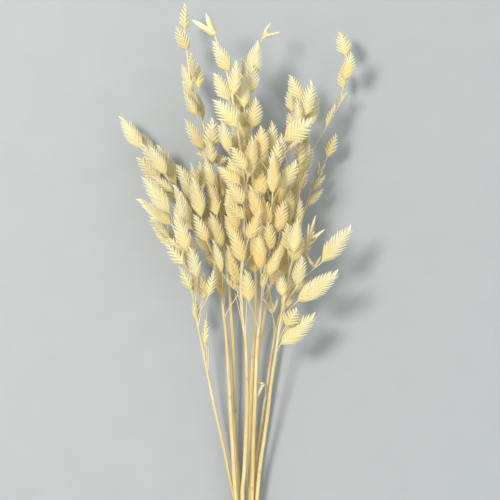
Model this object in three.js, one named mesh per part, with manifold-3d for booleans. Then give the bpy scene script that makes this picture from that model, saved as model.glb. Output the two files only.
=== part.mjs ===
// Dried northern sea oats: ten stems with their flat, saw-edged spikelets, bound by a raffia tie
// and laid on a flat surface. +Y runs from the cut ends to the heads, +Z up from the surface.
import * as THREE from 'three';
import { mergeVertices } from 'three/addons/utils/BufferGeometryUtils.js';
import Module from 'manifold-3d';

const wasm = await Module();
wasm.setup();

// Driving dimensions, millimetres
const CULM_RADIUS = 1.65; // of the thickest straw culm, at the tie
const STEM_PITCH = 4.0; // between the culms where they are bound
const RACHIS_TIP_RADIUS = 0.45;
const PEDICEL_RADIUS = 0.42;
const PRONG_RADIUS = 1.5; // of one young floret of an unopened spikelet
const RIB_HEIGHT = 1.3; // half the thickness of a ripe spikelet along its middle
const STRAND_WIDTH = 2.4; // raffia of the tie
const STRAND_THICKNESS = 1.4;
const TIE_CLEARANCE = 0.35; // between the raffia and the culms
const CLEARANCE = 0.45; // kept between the stems
const FLOOR_GAP = 0.3; // kept under the spikelets
const BUNCH_HEIGHT = 78; // that no spikelet's end passes

// The bunch is read in photograph pixels and laid out at real size
const MM_PER_PIXEL = 0.7;
const PHOTO_CENTRE = 250;
const VIEW_HEIGHT = 1800; // from the surface to the point that the plan is seen from
const MEAN_HEIGHT = 35; // height in the bunch at which MM_PER_PIXEL holds
const TIE_PIXEL = [246, 545];
const END_PIXEL_Y = 728; // cut ends of the culms
const END_UNEVENNESS = 9; // pixels by which the culms differ in length

// A point seen at pixel (x, y) that lies z above the surface
function place(x, y, z) {
  const scale = MM_PER_PIXEL * (VIEW_HEIGHT - z) / (VIEW_HEIGHT - MEAN_HEIGHT);
  return new THREE.Vector3((x - PHOTO_CENTRE) * scale, (PHOTO_CENTRE - y) * scale, z);
}

// Repeatable draw between 0 and 1 for item k
const DRAW_SEED = 4.137;
const DRAW_STEP = 12.9898;
const DRAW_SPREAD = 43758.5453;

function draw(k) {
  const s = Math.sin(k * DRAW_STEP + DRAW_SEED) * DRAW_SPREAD;
  return s - Math.floor(s);
}

// Draw between -half and half for item k
function sway(k, half) {
  return (2 * draw(k) - 1) * half;
}

// Each stem: the row (-1 lowest) and the seat along it, in pitches, where it is bound; its radius;
// its route above the tie as [pixel x, pixel y, height]; its spikelets as
// [base x, base y, tip x, tip y, width] in pixels, the one at the stem's end first; its sprigs,
// young open spikelets, as [base x, base y, [x, y of each floret's tip]], or the tips alone for one
// at the stem's end, whose florets may be flat; and how many more spikelets stand round the rachis
// between two points of the route: long ones outside, and short ones that fill the inside.
const STEMS = [
  {
    name: 'stem_left_low',
    row: 0,
    seat: -1.5,
    radius: 1.3,
    route: [[234, 497, 7.5], [229, 473, 9], [222, 440, 12], [214, 405, 16], [203, 350, 24],
      [197, 320, 29], [192, 290, 33], [186, 262, 36], [178, 240, 38], [172, 225, 39]],
    spikelets: [
      [172, 225, 137, 198, 12], [170, 213, 142, 175, 15], [170, 238, 149.5, 219.5, 9],
      [185, 255, 167, 237, 12], [185, 265, 166, 243, 13], [191, 291, 180, 266, 10],
      [197, 278, 190, 245, 12], [203, 300, 205, 272, 12], [208, 296, 214, 270, 10],
      [197, 321, 195, 295, 8], [205, 345, 206, 319, 6], [187, 252, 176, 213, 14],
    ],
    extra: { count: 3, from: 6.3, to: 9 },
    fill: { count: 2, from: 5, to: 8.6 },
  },
  {
    name: 'stem_left_far',
    row: 1,
    seat: -1,
    radius: 1.65,
    route: [[236, 497, 12.5], [233.5, 460, 14], [230, 400, 16], [226.5, 340, 18], [222, 300, 19],
      [217, 265, 18], [205, 235, 17], [188, 208, 16], [170, 182, 14], [158, 168, 13]],
    spikelets: [
      [158, 168, 140, 131, 14], [142, 149, 120, 115, 14], [160, 180, 137, 156, 15],
      [176, 185, 158, 143, 14], [185, 200, 152, 182, 12], [192, 190, 176, 163, 12],
      [197, 187, 191, 162, 8], [203, 190, 200, 161, 10], [200, 230, 172, 205, 15],
      [217, 263, 201, 254, 5], [229, 247, 214, 220, 14], [238, 291, 223, 274, 6],
      [197, 211, 182, 172, 15], [210, 228, 196, 192, 14], [224, 298, 214, 260, 8],
      [222, 272, 213, 239, 9], [192, 226, 174, 184, 13],
    ],
    extra: { count: 6, from: 5, to: 9 },
    fill: { count: 5, from: 4.4, to: 9 },
  },
  {
    name: 'stem_left_tall',
    row: -1,
    seat: -1,
    radius: 1.5,
    route: [[238.5, 480, 4.5], [235.5, 440, 6], [234.5, 390, 9], [233, 340, 13], [230, 300, 17],
      [226, 260, 21], [220, 210, 26], [209, 150, 30], [201, 115, 32], [192, 90, 33],
      [188, 62, 34], [184.5, 31, 34]],
    spikelets: [
      [184.5, 31, 185.5, 3, 10], [187.5, 50, 176.5, 25, 12], [193, 78, 190.5, 52, 7],
      [192, 92, 182, 63, 9], [198.5, 88, 198.5, 63, 10], [199, 112, 182.5, 81, 10],
      [197, 116, 184, 90, 9], [203, 118, 196, 92, 8], [204, 150, 185, 118, 12],
      [211, 150, 213, 117, 15], [209, 157, 195, 153, 7], [213, 160, 229, 158, 9],
      [217, 216, 208, 180, 13], [221, 248, 211, 211, 14], [213, 186, 205, 156, 10],
      [211, 166, 205, 127, 11],
    ],
    extra: { count: 2, from: 5, to: 6.6 },
    fill: { count: 3, from: 4.6, to: 7.2 },
  },
  {
    name: 'stem_centre_left',
    row: 1,
    seat: 0,
    radius: 1.55,
    route: [[242.5, 497, 14], [245, 460, 18], [247, 400, 26], [246, 345, 34], [243, 320, 38],
      [241, 290, 43], [243, 250, 49], [245, 200, 56], [242, 160, 60], [237, 127, 62],
      [231, 90, 63], [223, 60, 62], [215, 36, 61]],
    endSprig: [[192, 20], [206, 13]],
    endFlatness: 1.7,
    spikelets: [
      [229, 71, 213, 40, 14], [233, 95, 237, 59, 11], [229, 101, 215, 72, 15],
      [237, 127, 214, 98, 18], [228.5, 152, 222, 120, 11], [242, 152, 233, 126, 13],
      [246, 170, 232, 146, 13], [240, 184, 218, 166, 14], [243, 204, 227, 180, 14],
      [245, 218, 224, 203, 12], [243, 262, 232, 226, 14], [240, 243, 225, 214, 13],
    ],
    extra: { count: 7, from: 5, to: 9 },
    fill: { count: 5, from: 4.6, to: 10 },
  },
  {
    name: 'stem_centre',
    row: 0,
    seat: -0.5,
    radius: 1.6,
    route: [[249, 497, 7.5], [250.5, 440, 10], [251, 400, 13], [253.5, 350, 18], [255.5, 300, 24],
      [256, 240, 31], [253, 180, 37], [250, 130, 41], [251, 95, 43], [256, 62, 44],
      [262, 38, 44]],
    endSprig: [[271, 22.5], [281, 32]],
    spikelets: [
      [250, 82, 259, 40, 15], [251, 93, 252, 62, 15], [243, 128, 246, 92, 12],
      [252, 128, 257, 97, 16], [244, 108, 242, 72, 13], [252, 231, 248, 196, 13],
      [255, 273, 250, 238, 13], [248, 90, 243, 57, 12], [252, 160, 246, 124, 14],
    ],
    extra: { count: 6, from: 5, to: 7.2 },
    fill: { count: 3, from: 4.6, to: 6.64 },
  },
  {
    name: 'stem_centre_full',
    row: 1,
    seat: 1,
    radius: 1.6,
    route: [[252, 497, 12.5], [253.5, 440, 17], [255, 400, 21], [257, 350, 28], [260, 315, 34],
      [263, 285, 39], [268, 245, 46], [272, 205, 52], [273, 175, 55], [272, 155, 56]],
    spikelets: [
      [272, 155, 273, 120, 12], [260, 158, 262, 125, 15], [281, 162, 282, 132, 10],
      [273, 172, 279, 140, 13], [284, 153, 300, 140, 5], [280, 188, 298, 160, 15],
      [274, 262, 284, 238, 11], [268, 266, 268, 248, 7], [262, 288, 266, 268, 7],
      [249, 302, 246, 268, 13], [262, 196, 256, 164, 15], [268, 226, 256, 192, 16],
      [276, 232, 284, 200, 15], [258, 250, 250, 216, 15], [270, 250, 268, 220, 13],
      [267, 191, 266, 154, 13],
    ],
    extra: { count: 8, from: 4.8, to: 8 },
    fill: { count: 5, from: 4.9, to: 8.4 },
  },
  {
    name: 'stem_right_cluster',
    row: -1,
    seat: 0,
    radius: 1.4,
    route: [[252, 497, 4], [254.5, 450, 5], [255.5, 400, 8], [258.5, 355, 12], [265.5, 310, 17],
      [274, 270, 21], [281, 230, 25], [288, 195, 28], [296, 165, 31], [300, 145, 32],
      [301, 128, 33], [301, 112, 33]],
    spikelets: [
      [301, 112, 304, 88, 8], [301, 100, 290, 74, 13], [292, 112, 290, 86, 11],
      [303, 117, 313, 80, 15], [307, 128, 318, 95, 11], [297, 140, 289, 112, 14],
      [285, 141, 313, 119, 20], [303, 165, 307, 128, 9], [300, 164, 300, 140, 11],
      [299, 190, 307, 169, 9], [286, 224, 291, 189, 12], [299, 130, 297, 97, 10],
      [293, 208, 296, 173, 11],
    ],
    extra: { count: 3, from: 5, to: 8 },
    fill: { count: 2, from: 7, to: 10 },
  },
  {
    name: 'stem_right_thin',
    row: 0,
    seat: 0.5,
    radius: 0.95,
    route: [[254.5, 497, 7.2], [257, 455, 8], [261.5, 420, 9.5], [267, 385, 11], [273, 345, 13],
      [280, 310, 15], [288, 270, 16], [296, 220, 17], [303, 172, 17], [313, 150, 17],
      [325, 128, 17], [338, 106, 17], [343, 89, 17]],
    spikelets: [
      [343, 89, 342, 68, 10], [345, 80, 352, 51, 13], [346, 56, 340, 31, 14],
      [340, 103, 347, 92, 4], [339.5, 105, 339, 95, 4], [326, 127, 336, 104, 5],
    ],
    sprigs: [
      [272, 313, [[262, 297], [268, 283], [278, 298]]],
      [264, 384, [[255, 383], [257, 398]]],
    ],
  },
  {
    name: 'stem_right_small',
    row: -1,
    seat: 1,
    radius: 1.2,
    route: [[256.5, 497, 4], [261, 455, 5], [266, 420, 6], [271, 385, 7], [277, 345, 8],
      [284, 300, 9.5], [291, 265, 10], [298, 238, 10], [303, 215, 10], [310, 192, 10],
      [315, 183, 10], [319, 177, 10]],
    endSprig: [[318.5, 160], [325.5, 163]],
    spikelets: [
      [327, 157, 337, 133, 11], [312, 190, 326, 175, 7], [308, 206, 324, 188, 7],
      [296, 218, 302, 200, 5],
    ],
    extra: { count: 1, from: 6, to: 9 },
  },
  {
    name: 'stem_right_drooping',
    row: 0,
    seat: 1.5,
    radius: 1.65,
    route: [[257, 497, 10.2], [261, 460, 13], [267, 420, 18], [271, 385, 24], [277, 345, 30],
      [281.5, 315, 35], [286, 290, 38], [291, 265, 41], [295, 240, 43], [297, 226, 43]],
    spikelets: [
      [297, 226, 300, 196, 10], [322, 262, 353, 226, 18], [298, 301, 340, 270.5, 18],
      [281, 344, 317, 313.5, 18], [289, 294, 311, 279, 7], [286, 326, 298, 308, 15],
      [293, 262, 300, 228, 14], [288, 250, 288, 222, 13], [297, 285, 303, 255, 13],
      [285, 310, 292, 276, 12],
    ],
    sprigs: [
      [309, 240, [[309, 223], [316, 215], [325, 229]]],
      [306, 248, [[301, 239], [320, 233]]],
      [313, 268, [[306, 254], [321, 256]]],
    ],
    extra: { count: 3, from: 6, to: 9, turn: 1.7 },
    fill: { count: 2, from: 5, to: 8 },
  },
];

// How the panicles grow
const FULLNESS = 1.2; // teeth reach past the width that is read between a spikelet's edges
const RIPE_SHAPE = 0.36; // width over length of a ripe spikelet seen flat
const FIRST_LIFT = 4; // least height of the listed spikelets over their rachis
const LIFT_SPREAD = 9;
const NOD = 0.42; // radians a spikelet may point up or down
const END_NOD = 0.13;
const ROLL = 0.25; // radians a spikelet may turn on its own length
const PEDICEL_DROP = 4; // least distance below its spikelet at which a pedicel leaves the rachis
const PEDICEL_SLANT = 1.1; // further drop for each millimetre between rachis and spikelet
const LONGEST_DROP = 32;
const PEDICEL_EASE = 0.4; // share of a pedicel's length over which it turns away
const PEDICEL_STEPS = 2;
const TRIES = 56;
const TRY_STEP = 1.1; // height between one try and the next
const TOOTH_PITCH = 9.6; // length of spikelet for each tooth of a side
const FEWEST_TEETH = 3;
const MOST_TEETH = 4;

// The spikelets that a rule places, in pixels: index is the number that the first of them draws its
// turns by, out the least distance of their bases from the rachis, shape the least width over length
const GOLDEN_ANGLE = Math.PI * (3 - Math.sqrt(5));
const EXTRA = { index: 40, out: 5, outSpread: 6, length: 34, lengthSpread: 10, shape: 0.28 };
const FILL = { index: 60, out: 2, outSpread: 4, length: 27, lengthSpread: 8, shape: 0.34 };
const SHAPE_SPREAD = 0.08;
const EXTRA_SPLAY = 0.35; // radians they lean away from the rachis
const EXTRA_FOLLOW = 0.8; // share of the rachis's own lean that they take up

// Box on three axes, used to keep the stems of the bunch out of one another
function slab(start, end, side, normal, halfWidth, halfHeight) {
  const along = new THREE.Vector3().subVectors(end, start);
  const half = along.length() / 2;
  return {
    centre: new THREE.Vector3().addVectors(start, end).multiplyScalar(0.5),
    axes: [along.normalize(), side, normal],
    half: [half, halfWidth, halfHeight],
    reach: Math.hypot(half, halfWidth, halfHeight),
  };
}

function rod(start, end, radius) {
  const along = new THREE.Vector3().subVectors(end, start).normalize();
  const side = new THREE.Vector3().crossVectors(new THREE.Vector3(0, 0, 1), along).normalize();
  const normal = new THREE.Vector3().crossVectors(along, side);
  return slab(start, end, side, normal, radius, radius);
}

function spanAlong(box, axis) {
  return box.axes.reduce((sum, a, i) => sum + box.half[i] * Math.abs(a.dot(axis)), 0);
}

const PARALLEL = 0.05; // below this cross product two axes count as parallel

function slabsMeet(a, b, gap) {
  const apart = new THREE.Vector3().subVectors(b.centre, a.centre);
  if (apart.length() > a.reach + b.reach + gap) return false;
  const axes = [...a.axes, ...b.axes];
  a.axes.forEach((u) => b.axes.forEach((v) => {
    const cross = new THREE.Vector3().crossVectors(u, v);
    if (cross.length() > PARALLEL) axes.push(cross.normalize());
  }));
  return axes.every((n) => Math.abs(apart.dot(n)) < spanAlong(a, n) + spanAlong(b, n) + gap);
}

// Three rows of culms are bound: the tie lies on the surface and the rows lie in it
const ROW_HEIGHT = STEM_PITCH * Math.sqrt(3) / 2;
const MIDDLE_ROW = STRAND_THICKNESS + TIE_CLEARANCE + CULM_RADIUS + ROW_HEIGHT;
const TIE_CENTRE = place(...TIE_PIXEL, MIDDLE_ROW);
const BOUND_HALF_LENGTH = 6; // of the stretch over which the culms lie parallel
const HALFWAY_SPREAD = 1.35; // of the seats, halfway to the cut ends
const END_SPREAD = 2.1; // of the seats, at the cut ends
const END_SAG = 1.2; // by which the culms come down towards their cut ends
const ROUTE_STEPS = 2; // samples for each span of a route

// Sampled route of a culm and its rachis, from the cut end to the tip
function stemLine(stem) {
  const z = MIDDLE_ROW + stem.row * ROW_HEIGHT;
  const x = stem.seat * STEM_PITCH;
  const end = place(TIE_PIXEL[0], END_PIXEL_Y - END_UNEVENNESS * draw(stem.key), MIDDLE_ROW);
  const points = [
    new THREE.Vector3(end.x + x * END_SPREAD, end.y, z - END_SAG),
    new THREE.Vector3(end.x + x * HALFWAY_SPREAD, (TIE_CENTRE.y + end.y) / 2, z),
    new THREE.Vector3(TIE_CENTRE.x + x, TIE_CENTRE.y - BOUND_HALF_LENGTH, z),
    new THREE.Vector3(TIE_CENTRE.x + x, TIE_CENTRE.y + BOUND_HALF_LENGTH, z),
    ...stem.route.map((point) => place(...point)),
  ];
  const curve = new THREE.CatmullRomCurve3(points, false, 'catmullrom', 0.5);
  return curve.getPoints((points.length - 1) * ROUTE_STEPS);
}

const TAPER_POWER = 2.4; // a culm keeps its thickness until the panicle begins

function stemRadius(stem, share) {
  return RACHIS_TIP_RADIUS + (stem.radius - RACHIS_TIP_RADIUS) * (1 - share ** TAPER_POWER);
}

// Where a spikelet lies: its base, its three axes, its length and half its width
function lay(base, tip, width, roll) {
  const along = new THREE.Vector3().subVectors(tip, base);
  const length = along.length();
  along.normalize();
  const level = new THREE.Vector3().crossVectors(new THREE.Vector3(0, 0, 1), along).normalize();
  const up = new THREE.Vector3().crossVectors(along, level);
  const side = level.multiplyScalar(Math.cos(roll)).addScaledVector(up, Math.sin(roll));
  const normal = new THREE.Vector3().crossVectors(along, side);
  return { base, along, side, normal, length, half: width / 2 };
}

// Slabs that follow a spikelet's outline: [from, to, share of its width and thickness]
const OUTLINE_SLABS = [[0.02, 0.2, 0.7], [0.2, 0.72, 1], [0.72, 1, 0.62]];

function spikeletSlabs(p) {
  const at = (share) => p.base.clone().addScaledVector(p.along, p.length * share);
  return OUTLINE_SLABS.map(([from, to, size]) => (
    slab(at(from), at(to), p.side, p.normal, p.half * size, RIB_HEIGHT * size)));
}

const FULLEST = 0.45; // share of its length at which a spikelet reaches down furthest

function lowestPoint(p) {
  const edge = Math.abs(p.side.z) * p.half + Math.abs(p.normal.z) * RIB_HEIGHT;
  const middle = p.base.z + p.along.z * p.length * FULLEST - edge;
  const tip = p.base.z + p.along.z * p.length;
  return Math.min(middle, p.base.z - PEDICEL_RADIUS, tip);
}

function nearestAcross(line, y) {
  return line.reduce((best, q) => (Math.abs(q.y - y) < Math.abs(best.y - y) ? q : best));
}

// Thin branch from the rachis to a spikelet: it leaves along the one and arrives along the other
function pedicelLine(line, p) {
  const near = nearestAcross(line, p.base.y);
  const drop = PEDICEL_DROP + PEDICEL_SLANT * Math.hypot(near.x - p.base.x, near.z - p.base.z);
  const footY = p.base.y - Math.min(drop, LONGEST_DROP);
  let k = line.length - 1;
  while (k > 1 && line[k - 1].y > footY) k -= 1;
  const [low, high] = [line[k - 1], line[k]];
  const foot = low.clone().lerp(high, THREE.MathUtils.clamp((footY - low.y) / (high.y - low.y), 0, 1));
  const ease = foot.distanceTo(p.base) * PEDICEL_EASE;
  const leave = foot.clone().addScaledVector(high.clone().sub(low).normalize(), ease);
  const arrive = p.base.clone().addScaledVector(p.along, -ease);
  return new THREE.CubicBezierCurve3(foot, leave, arrive, p.base).getPoints(PEDICEL_STEPS);
}

// What already has its place in the bunch: boxes with the stem they belong to
const taken = [];

function take(boxes, owner, isStem) {
  boxes.forEach((box) => taken.push({ ...box, owner, isStem }));
}

const OWN_GAP = 0.1; // between two spikelets of one stem

function isFree(blade, pedicel, owner) {
  const foreign = taken.filter((box) => box.owner !== owner);
  const own = taken.filter((box) => box.owner === owner && !box.isStem);
  return [...blade, ...pedicel].every((a) => foreign.every((b) => !slabsMeet(a, b, CLEARANCE)))
    && blade.every((a) => own.every((b) => !slabsMeet(a, b, OWN_GAP)));
}

// Settles a spikelet at the first height, nod and roll at which it and its pedicel are free. One at
// the end of its rachis keeps its height. Where the bunch is too full, none grows.
function settle(stem, index, row, lift, atEnd) {
  const [baseX, baseY, tipX, tipY, widthRead] = row;
  const key = 17 * index + 131 * stem.key;
  const reach = Math.hypot(tipX - baseX, tipY - baseY) * MM_PER_PIXEL;
  const seen = widthRead * MM_PER_PIXEL * FULLNESS;
  const end = stem.line[stem.line.length - 1];
  const rachisZ = nearestAcross(stem.line, place(0, baseY, MEAN_HEIGHT).y).z;
  const turned = draw(key) > 0.5 ? 1 : -1;
  for (let n = 0; n < TRIES; n += 1) {
    const shift = (n % 2 ? 1 : -1) * Math.ceil(n / 2) * TRY_STEP;
    const nod = sway(key + 1 + n, atEnd ? END_NOD : NOD);
    const base = place(baseX, baseY, atEnd ? end.z : rachisZ + lift + shift);
    const tip = place(tipX, tipY, base.z + Math.tan(nod) * reach);
    const length = base.distanceTo(tip);
    const width = Math.max(seen, RIPE_SHAPE * length);
    const roll = turned * Math.acos(Math.min(1, seen / width)) + sway(key + 3 + n, ROLL);
    const p = lay(base, tip, width, roll);
    const blade = spikeletSlabs(p);
    const line = atEnd ? [] : pedicelLine(stem.line, p);
    const pedicel = line.slice(1).map((q, i) => rod(line[i], q, PEDICEL_RADIUS));
    const inside = lowestPoint(p) > FLOOR_GAP && Math.max(base.z, tip.z) < BUNCH_HEIGHT;
    if (inside && isFree(blade, pedicel, stem.name)) {
      take([...blade, ...pedicel], stem.name, false);
      const teeth = THREE.MathUtils.clamp(Math.round(length / TOOTH_PITCH), FEWEST_TEETH, MOST_TEETH);
      return [{ ...p, line, teeth }];
    }
  }
  return [];
}

// A sprig fills the room of one flat spikelet, from its base to the middle of its florets' tips
function sprigRow([baseX, baseY, tips]) {
  const xs = tips.map(([x]) => x);
  const ys = tips.map(([, y]) => y);
  const middle = (list) => list.reduce((sum, v) => sum + v, 0) / list.length;
  const spread = Math.hypot(Math.max(...xs) - Math.min(...xs), Math.max(...ys) - Math.min(...ys));
  return [baseX, baseY, middle(xs), middle(ys), spread];
}

// A spikelet of the fuller part of the panicle, a golden angle on round the rachis from the last
function extraRow(stem, group, kind, k) {
  const { count, from, to, turn = 0 } = group;
  const span = from + (to - from) * (k + 0.5) / count;
  const i = Math.floor(span);
  const [ax, ay] = stem.route[i];
  const [bx, by] = stem.route[i + 1];
  const angle = k * GOLDEN_ANGLE + stem.key + turn;
  const seed = k + kind.index - EXTRA.index;
  const out = kind.out + kind.outSpread * draw(11 * stem.key + seed);
  const baseX = ax + (bx - ax) * (span - i) + Math.cos(angle) * out;
  const baseY = ay + (by - ay) * (span - i);
  const length = kind.length + kind.lengthSpread * draw(23 * stem.key + seed);
  const lean = Math.cos(angle) * EXTRA_SPLAY + (bx - ax) / (ay - by) * EXTRA_FOLLOW;
  const width = length * (kind.shape + SHAPE_SPREAD * draw(29 * stem.key + seed));
  return {
    row: [baseX, baseY, baseX + Math.sin(lean) * length, baseY - Math.cos(lean) * length, width],
    lift: Math.sin(angle) * out,
  };
}

const SPRIG_INDEX = 30; // number by which the first sprig of a stem draws its turns

// The whole bunch: culms first, then the ends of the stems, what the photograph shows, the rest
function planBunch() {
  STEMS.forEach((stem, i) => {
    stem.key = i + 1;
    stem.line = stemLine(stem);
    stem.pieces = [];
    const last = stem.line.length - 1;
    take(stem.line.slice(1).map((q, k) => rod(stem.line[k], q, stemRadius(stem, k / last))), stem.name, true);
  });
  const grow = (stem, ...rest) => stem.pieces.push(...settle(stem, ...rest));
  STEMS.filter((stem) => !stem.endSprig).forEach((stem) => grow(stem, 0, stem.spikelets[0], 0, true));
  STEMS.forEach((stem) => {
    stem.spikelets.slice(stem.endSprig ? 0 : 1).forEach((row, i) => {
      grow(stem, i + 1, row, FIRST_LIFT + LIFT_SPREAD * draw(i + 5 * stem.key), false);
    });
    (stem.sprigs || []).forEach((sprig, i) => {
      const grown = settle(stem, SPRIG_INDEX + i, sprigRow(sprig), FIRST_LIFT, false);
      stem.pieces.push(...grown.map((p) => ({ ...p, tips: sprig[2] })));
    });
  });
  const growGroup = (stem, group, kind) => {
    for (let k = 0; k < group.count; k += 1) {
      const { row, lift } = extraRow(stem, group, kind, k);
      grow(stem, kind.index + k, row, lift, false);
    }
  };
  STEMS.filter((stem) => stem.extra).forEach((stem) => growGroup(stem, stem.extra, EXTRA));
  STEMS.filter((stem) => stem.fill).forEach((stem) => growGroup(stem, stem.fill, FILL));
}

// Closed mesh from points and faces
function closedMesh(points, faces) {
  const geometry = new THREE.BufferGeometry();
  const position = points.flatMap((p) => p.toArray());
  geometry.setAttribute('position', new THREE.Float32BufferAttribute(position, 3));
  geometry.setIndex(faces.flat());
  return geometry;
}

function toManifold(geometry) {
  const merged = mergeVertices(geometry);
  return new wasm.Manifold(new wasm.Mesh({
    numProp: 3,
    vertProperties: new Float32Array(merged.attributes.position.array),
    triVerts: new Uint32Array(merged.index.array),
  }));
}

function fromManifold(manifold) {
  const mesh = manifold.getMesh();
  const geometry = new THREE.BufferGeometry();
  geometry.setAttribute('position', new THREE.BufferAttribute(new Float32Array(mesh.vertProperties), 3));
  geometry.setIndex(new THREE.BufferAttribute(new Uint32Array(mesh.triVerts), 1));
  geometry.computeVertexNormals();
  return geometry;
}

// Faces between two rings of points that run clockwise as seen from the first ring's side
function bandFaces(from, to, count) {
  return Array.from({ length: count }, (_, k) => {
    const next = (k + 1) % count;
    return [[from + k, from + next, to + next], [from + k, to + next, to + k]];
  }).flat();
}

// Tube through a list of points with a radius for each, closed at both ends; a flat one is as many
// times as wide as it is high
function taperedTube(line, radii, sides, flatness = 1) {
  const points = [];
  const faces = [];
  let side = new THREE.Vector3(1, 0, 0);
  line.forEach((q, i) => {
    const ahead = line[Math.min(i + 1, line.length - 1)];
    const behind = line[Math.max(i - 1, 0)];
    const along = new THREE.Vector3().subVectors(ahead, behind).normalize();
    side = side.clone().addScaledVector(along, -side.dot(along)).normalize();
    const other = new THREE.Vector3().crossVectors(along, side);
    for (let k = 0; k < sides; k += 1) {
      const angle = 2 * Math.PI * k / sides;
      points.push(q.clone()
        .addScaledVector(side, flatness * radii[i] * Math.cos(angle))
        .addScaledVector(other, radii[i] * Math.sin(angle)));
    }
    if (i > 0) faces.push(...bandFaces((i - 1) * sides, i * sides, sides));
  });
  const last = (line.length - 1) * sides;
  for (let k = 1; k < sides - 1; k += 1) {
    faces.push([0, k + 1, k], [last, last + k, last + k + 1]);
  }
  return closedMesh(points, faces);
}

// Half width of a spikelet at a share of its length
const WIDEST = 0.4;
const OUTLINE_END = 1.03;

function outline(u) {
  const rise = Math.sin(Math.PI / 2 * Math.min(1, u / WIDEST)) ** 0.6;
  const fall = Math.cos(Math.PI / 2 * Math.max(0, u - WIDEST) / (OUTLINE_END - WIDEST)) ** 0.7;
  return rise * fall;
}

function ribHeight(u) {
  return RIB_HEIGHT * (0.5 + 0.5 * Math.sin(Math.PI * Math.min(1, u * 1.05)));
}

// Rings of three points along a pedicel; the last one lies at the spikelet's base, square to it
const PEDICEL_SIDES = 3;

function pedicelRings(p) {
  const back = p.line.length ? [...p.line].reverse() : [p.base];
  let up = p.normal;
  const rings = back.map((q, i) => {
    const along = i ? back[i - 1].clone().sub(q).normalize() : p.along;
    up = up.clone().addScaledVector(along, -up.dot(along)).normalize();
    const side = new THREE.Vector3().crossVectors(along, up);
    return Array.from({ length: PEDICEL_SIDES }, (_, k) => {
      const angle = 2 * Math.PI * k / PEDICEL_SIDES;
      return q.clone()
        .addScaledVector(up, PEDICEL_RADIUS * Math.cos(angle))
        .addScaledVector(side, PEDICEL_RADIUS * Math.sin(angle));
    });
  });
  return rings.reverse();
}

// Flat spikelet on its pedicel: pointed florets in two ranks along the rib, each with a keel that
// runs from the rib to a tooth of the edge, and a valley between one keel and the next
const FIRST_TOOTH = 0.25;
const LAST_TOOTH = 0.89;
const KEEL_SLANT = 0.19; // by which a tooth stands ahead of the foot of its keel
const FIRST_KEEL = 0.07;
const LAST_KEEL = 0.86;
const NOTCH_BACK = 0.12; // of the tooth spacing, by which a notch lies behind the tooth before it
const NOTCH_DEPTH = 0.62; // how far out towards the outline a notch reaches

function spikeletGeometry(p) {
  const n = p.teeth;
  const spacing = (LAST_TOOTH - FIRST_TOOTH) / (n - 1);
  const toothAt = (i) => FIRST_TOOTH + spacing * i;
  const keelAt = (i) => (i === n ? LAST_KEEL : Math.max(FIRST_KEEL, toothAt(i) - KEEL_SLANT));
  const notchAt = (i) => toothAt(i - 1) - spacing * NOTCH_BACK;
  const rings = pedicelRings(p);
  const points = rings.flat();
  const add = (u, y, z) => points.push(p.base.clone()
    .addScaledVector(p.along, u * p.length)
    .addScaledVector(p.side, y * p.half)
    .addScaledVector(p.normal, z)) - 1;
  const root = (rings.length - 1) * PEDICEL_SIDES;
  const faces = [[0, 2, 1]];
  for (let ring = 0; ring < root; ring += PEDICEL_SIDES) {
    faces.push(...bandFaces(ring, ring + PEDICEL_SIDES, PEDICEL_SIDES));
  }
  const tip = add(1, 0, 0);
  const indices = Array.from({ length: n + 1 }, (_, i) => i);
  const edges = [-1, 1].map((s, k) => ({
    teeth: indices.slice(0, n).map((i) => add(toothAt(i), s * outline(toothAt(i)), 0)),
    notches: indices.map((i) => (
      i ? add(notchAt(i), s * outline(notchAt(i)) * NOTCH_DEPTH, 0) : root + 1 + k)),
  }));
  const above = indices.map((i) => add(keelAt(i), 0, ribHeight(keelAt(i))));
  const below = indices.map((i) => add(keelAt(i), 0, -ribHeight(keelAt(i))));
  [above, below].forEach((rib) => edges.forEach(({ teeth, notches }, k) => {
    const flip = (rib === above) === (k === 1);
    const push = (a, b, c) => faces.push(flip ? [a, c, b] : [a, b, c]);
    if (rib === above) push(root, notches[0], rib[0]);
    for (let i = 0; i < n; i += 1) {
      push(rib[i], notches[i], teeth[i]);
      push(rib[i], teeth[i], notches[i + 1]);
      push(rib[i], notches[i + 1], rib[i + 1]);
    }
    push(rib[n], notches[n], tip);
  }));
  faces.push([root + 1, root + 2, below[0]]);
  return closedMesh(points, faces);
}

// Young floret: a slim four-sided spindle
const PRONG_SHAPE = [[0, 0.45], [0.45, 1], [1, 0.12]]; // share of its length, share of its radius

function prongGeometry(base, tip, flatness) {
  const line = PRONG_SHAPE.map(([share]) => base.clone().lerp(tip, share));
  return taperedTube(line, PRONG_SHAPE.map(([, size]) => size * PRONG_RADIUS), 4, flatness);
}

const PRONG_RISE = 1.6; // height between the tips of neighbouring young florets
const SUNK = 2.5; // length of a rachis or pedicel that is held inside what it carries
const CULM_SIDES = 5;

function sprig(base, tips, climb, flatness = 1) {
  return tips.map(([x, y], i) => {
    const rise = climb + PRONG_RISE * (i - (tips.length - 1) / 2);
    return toManifold(prongGeometry(base, place(x, y, base.z + rise), flatness));
  });
}

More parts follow.
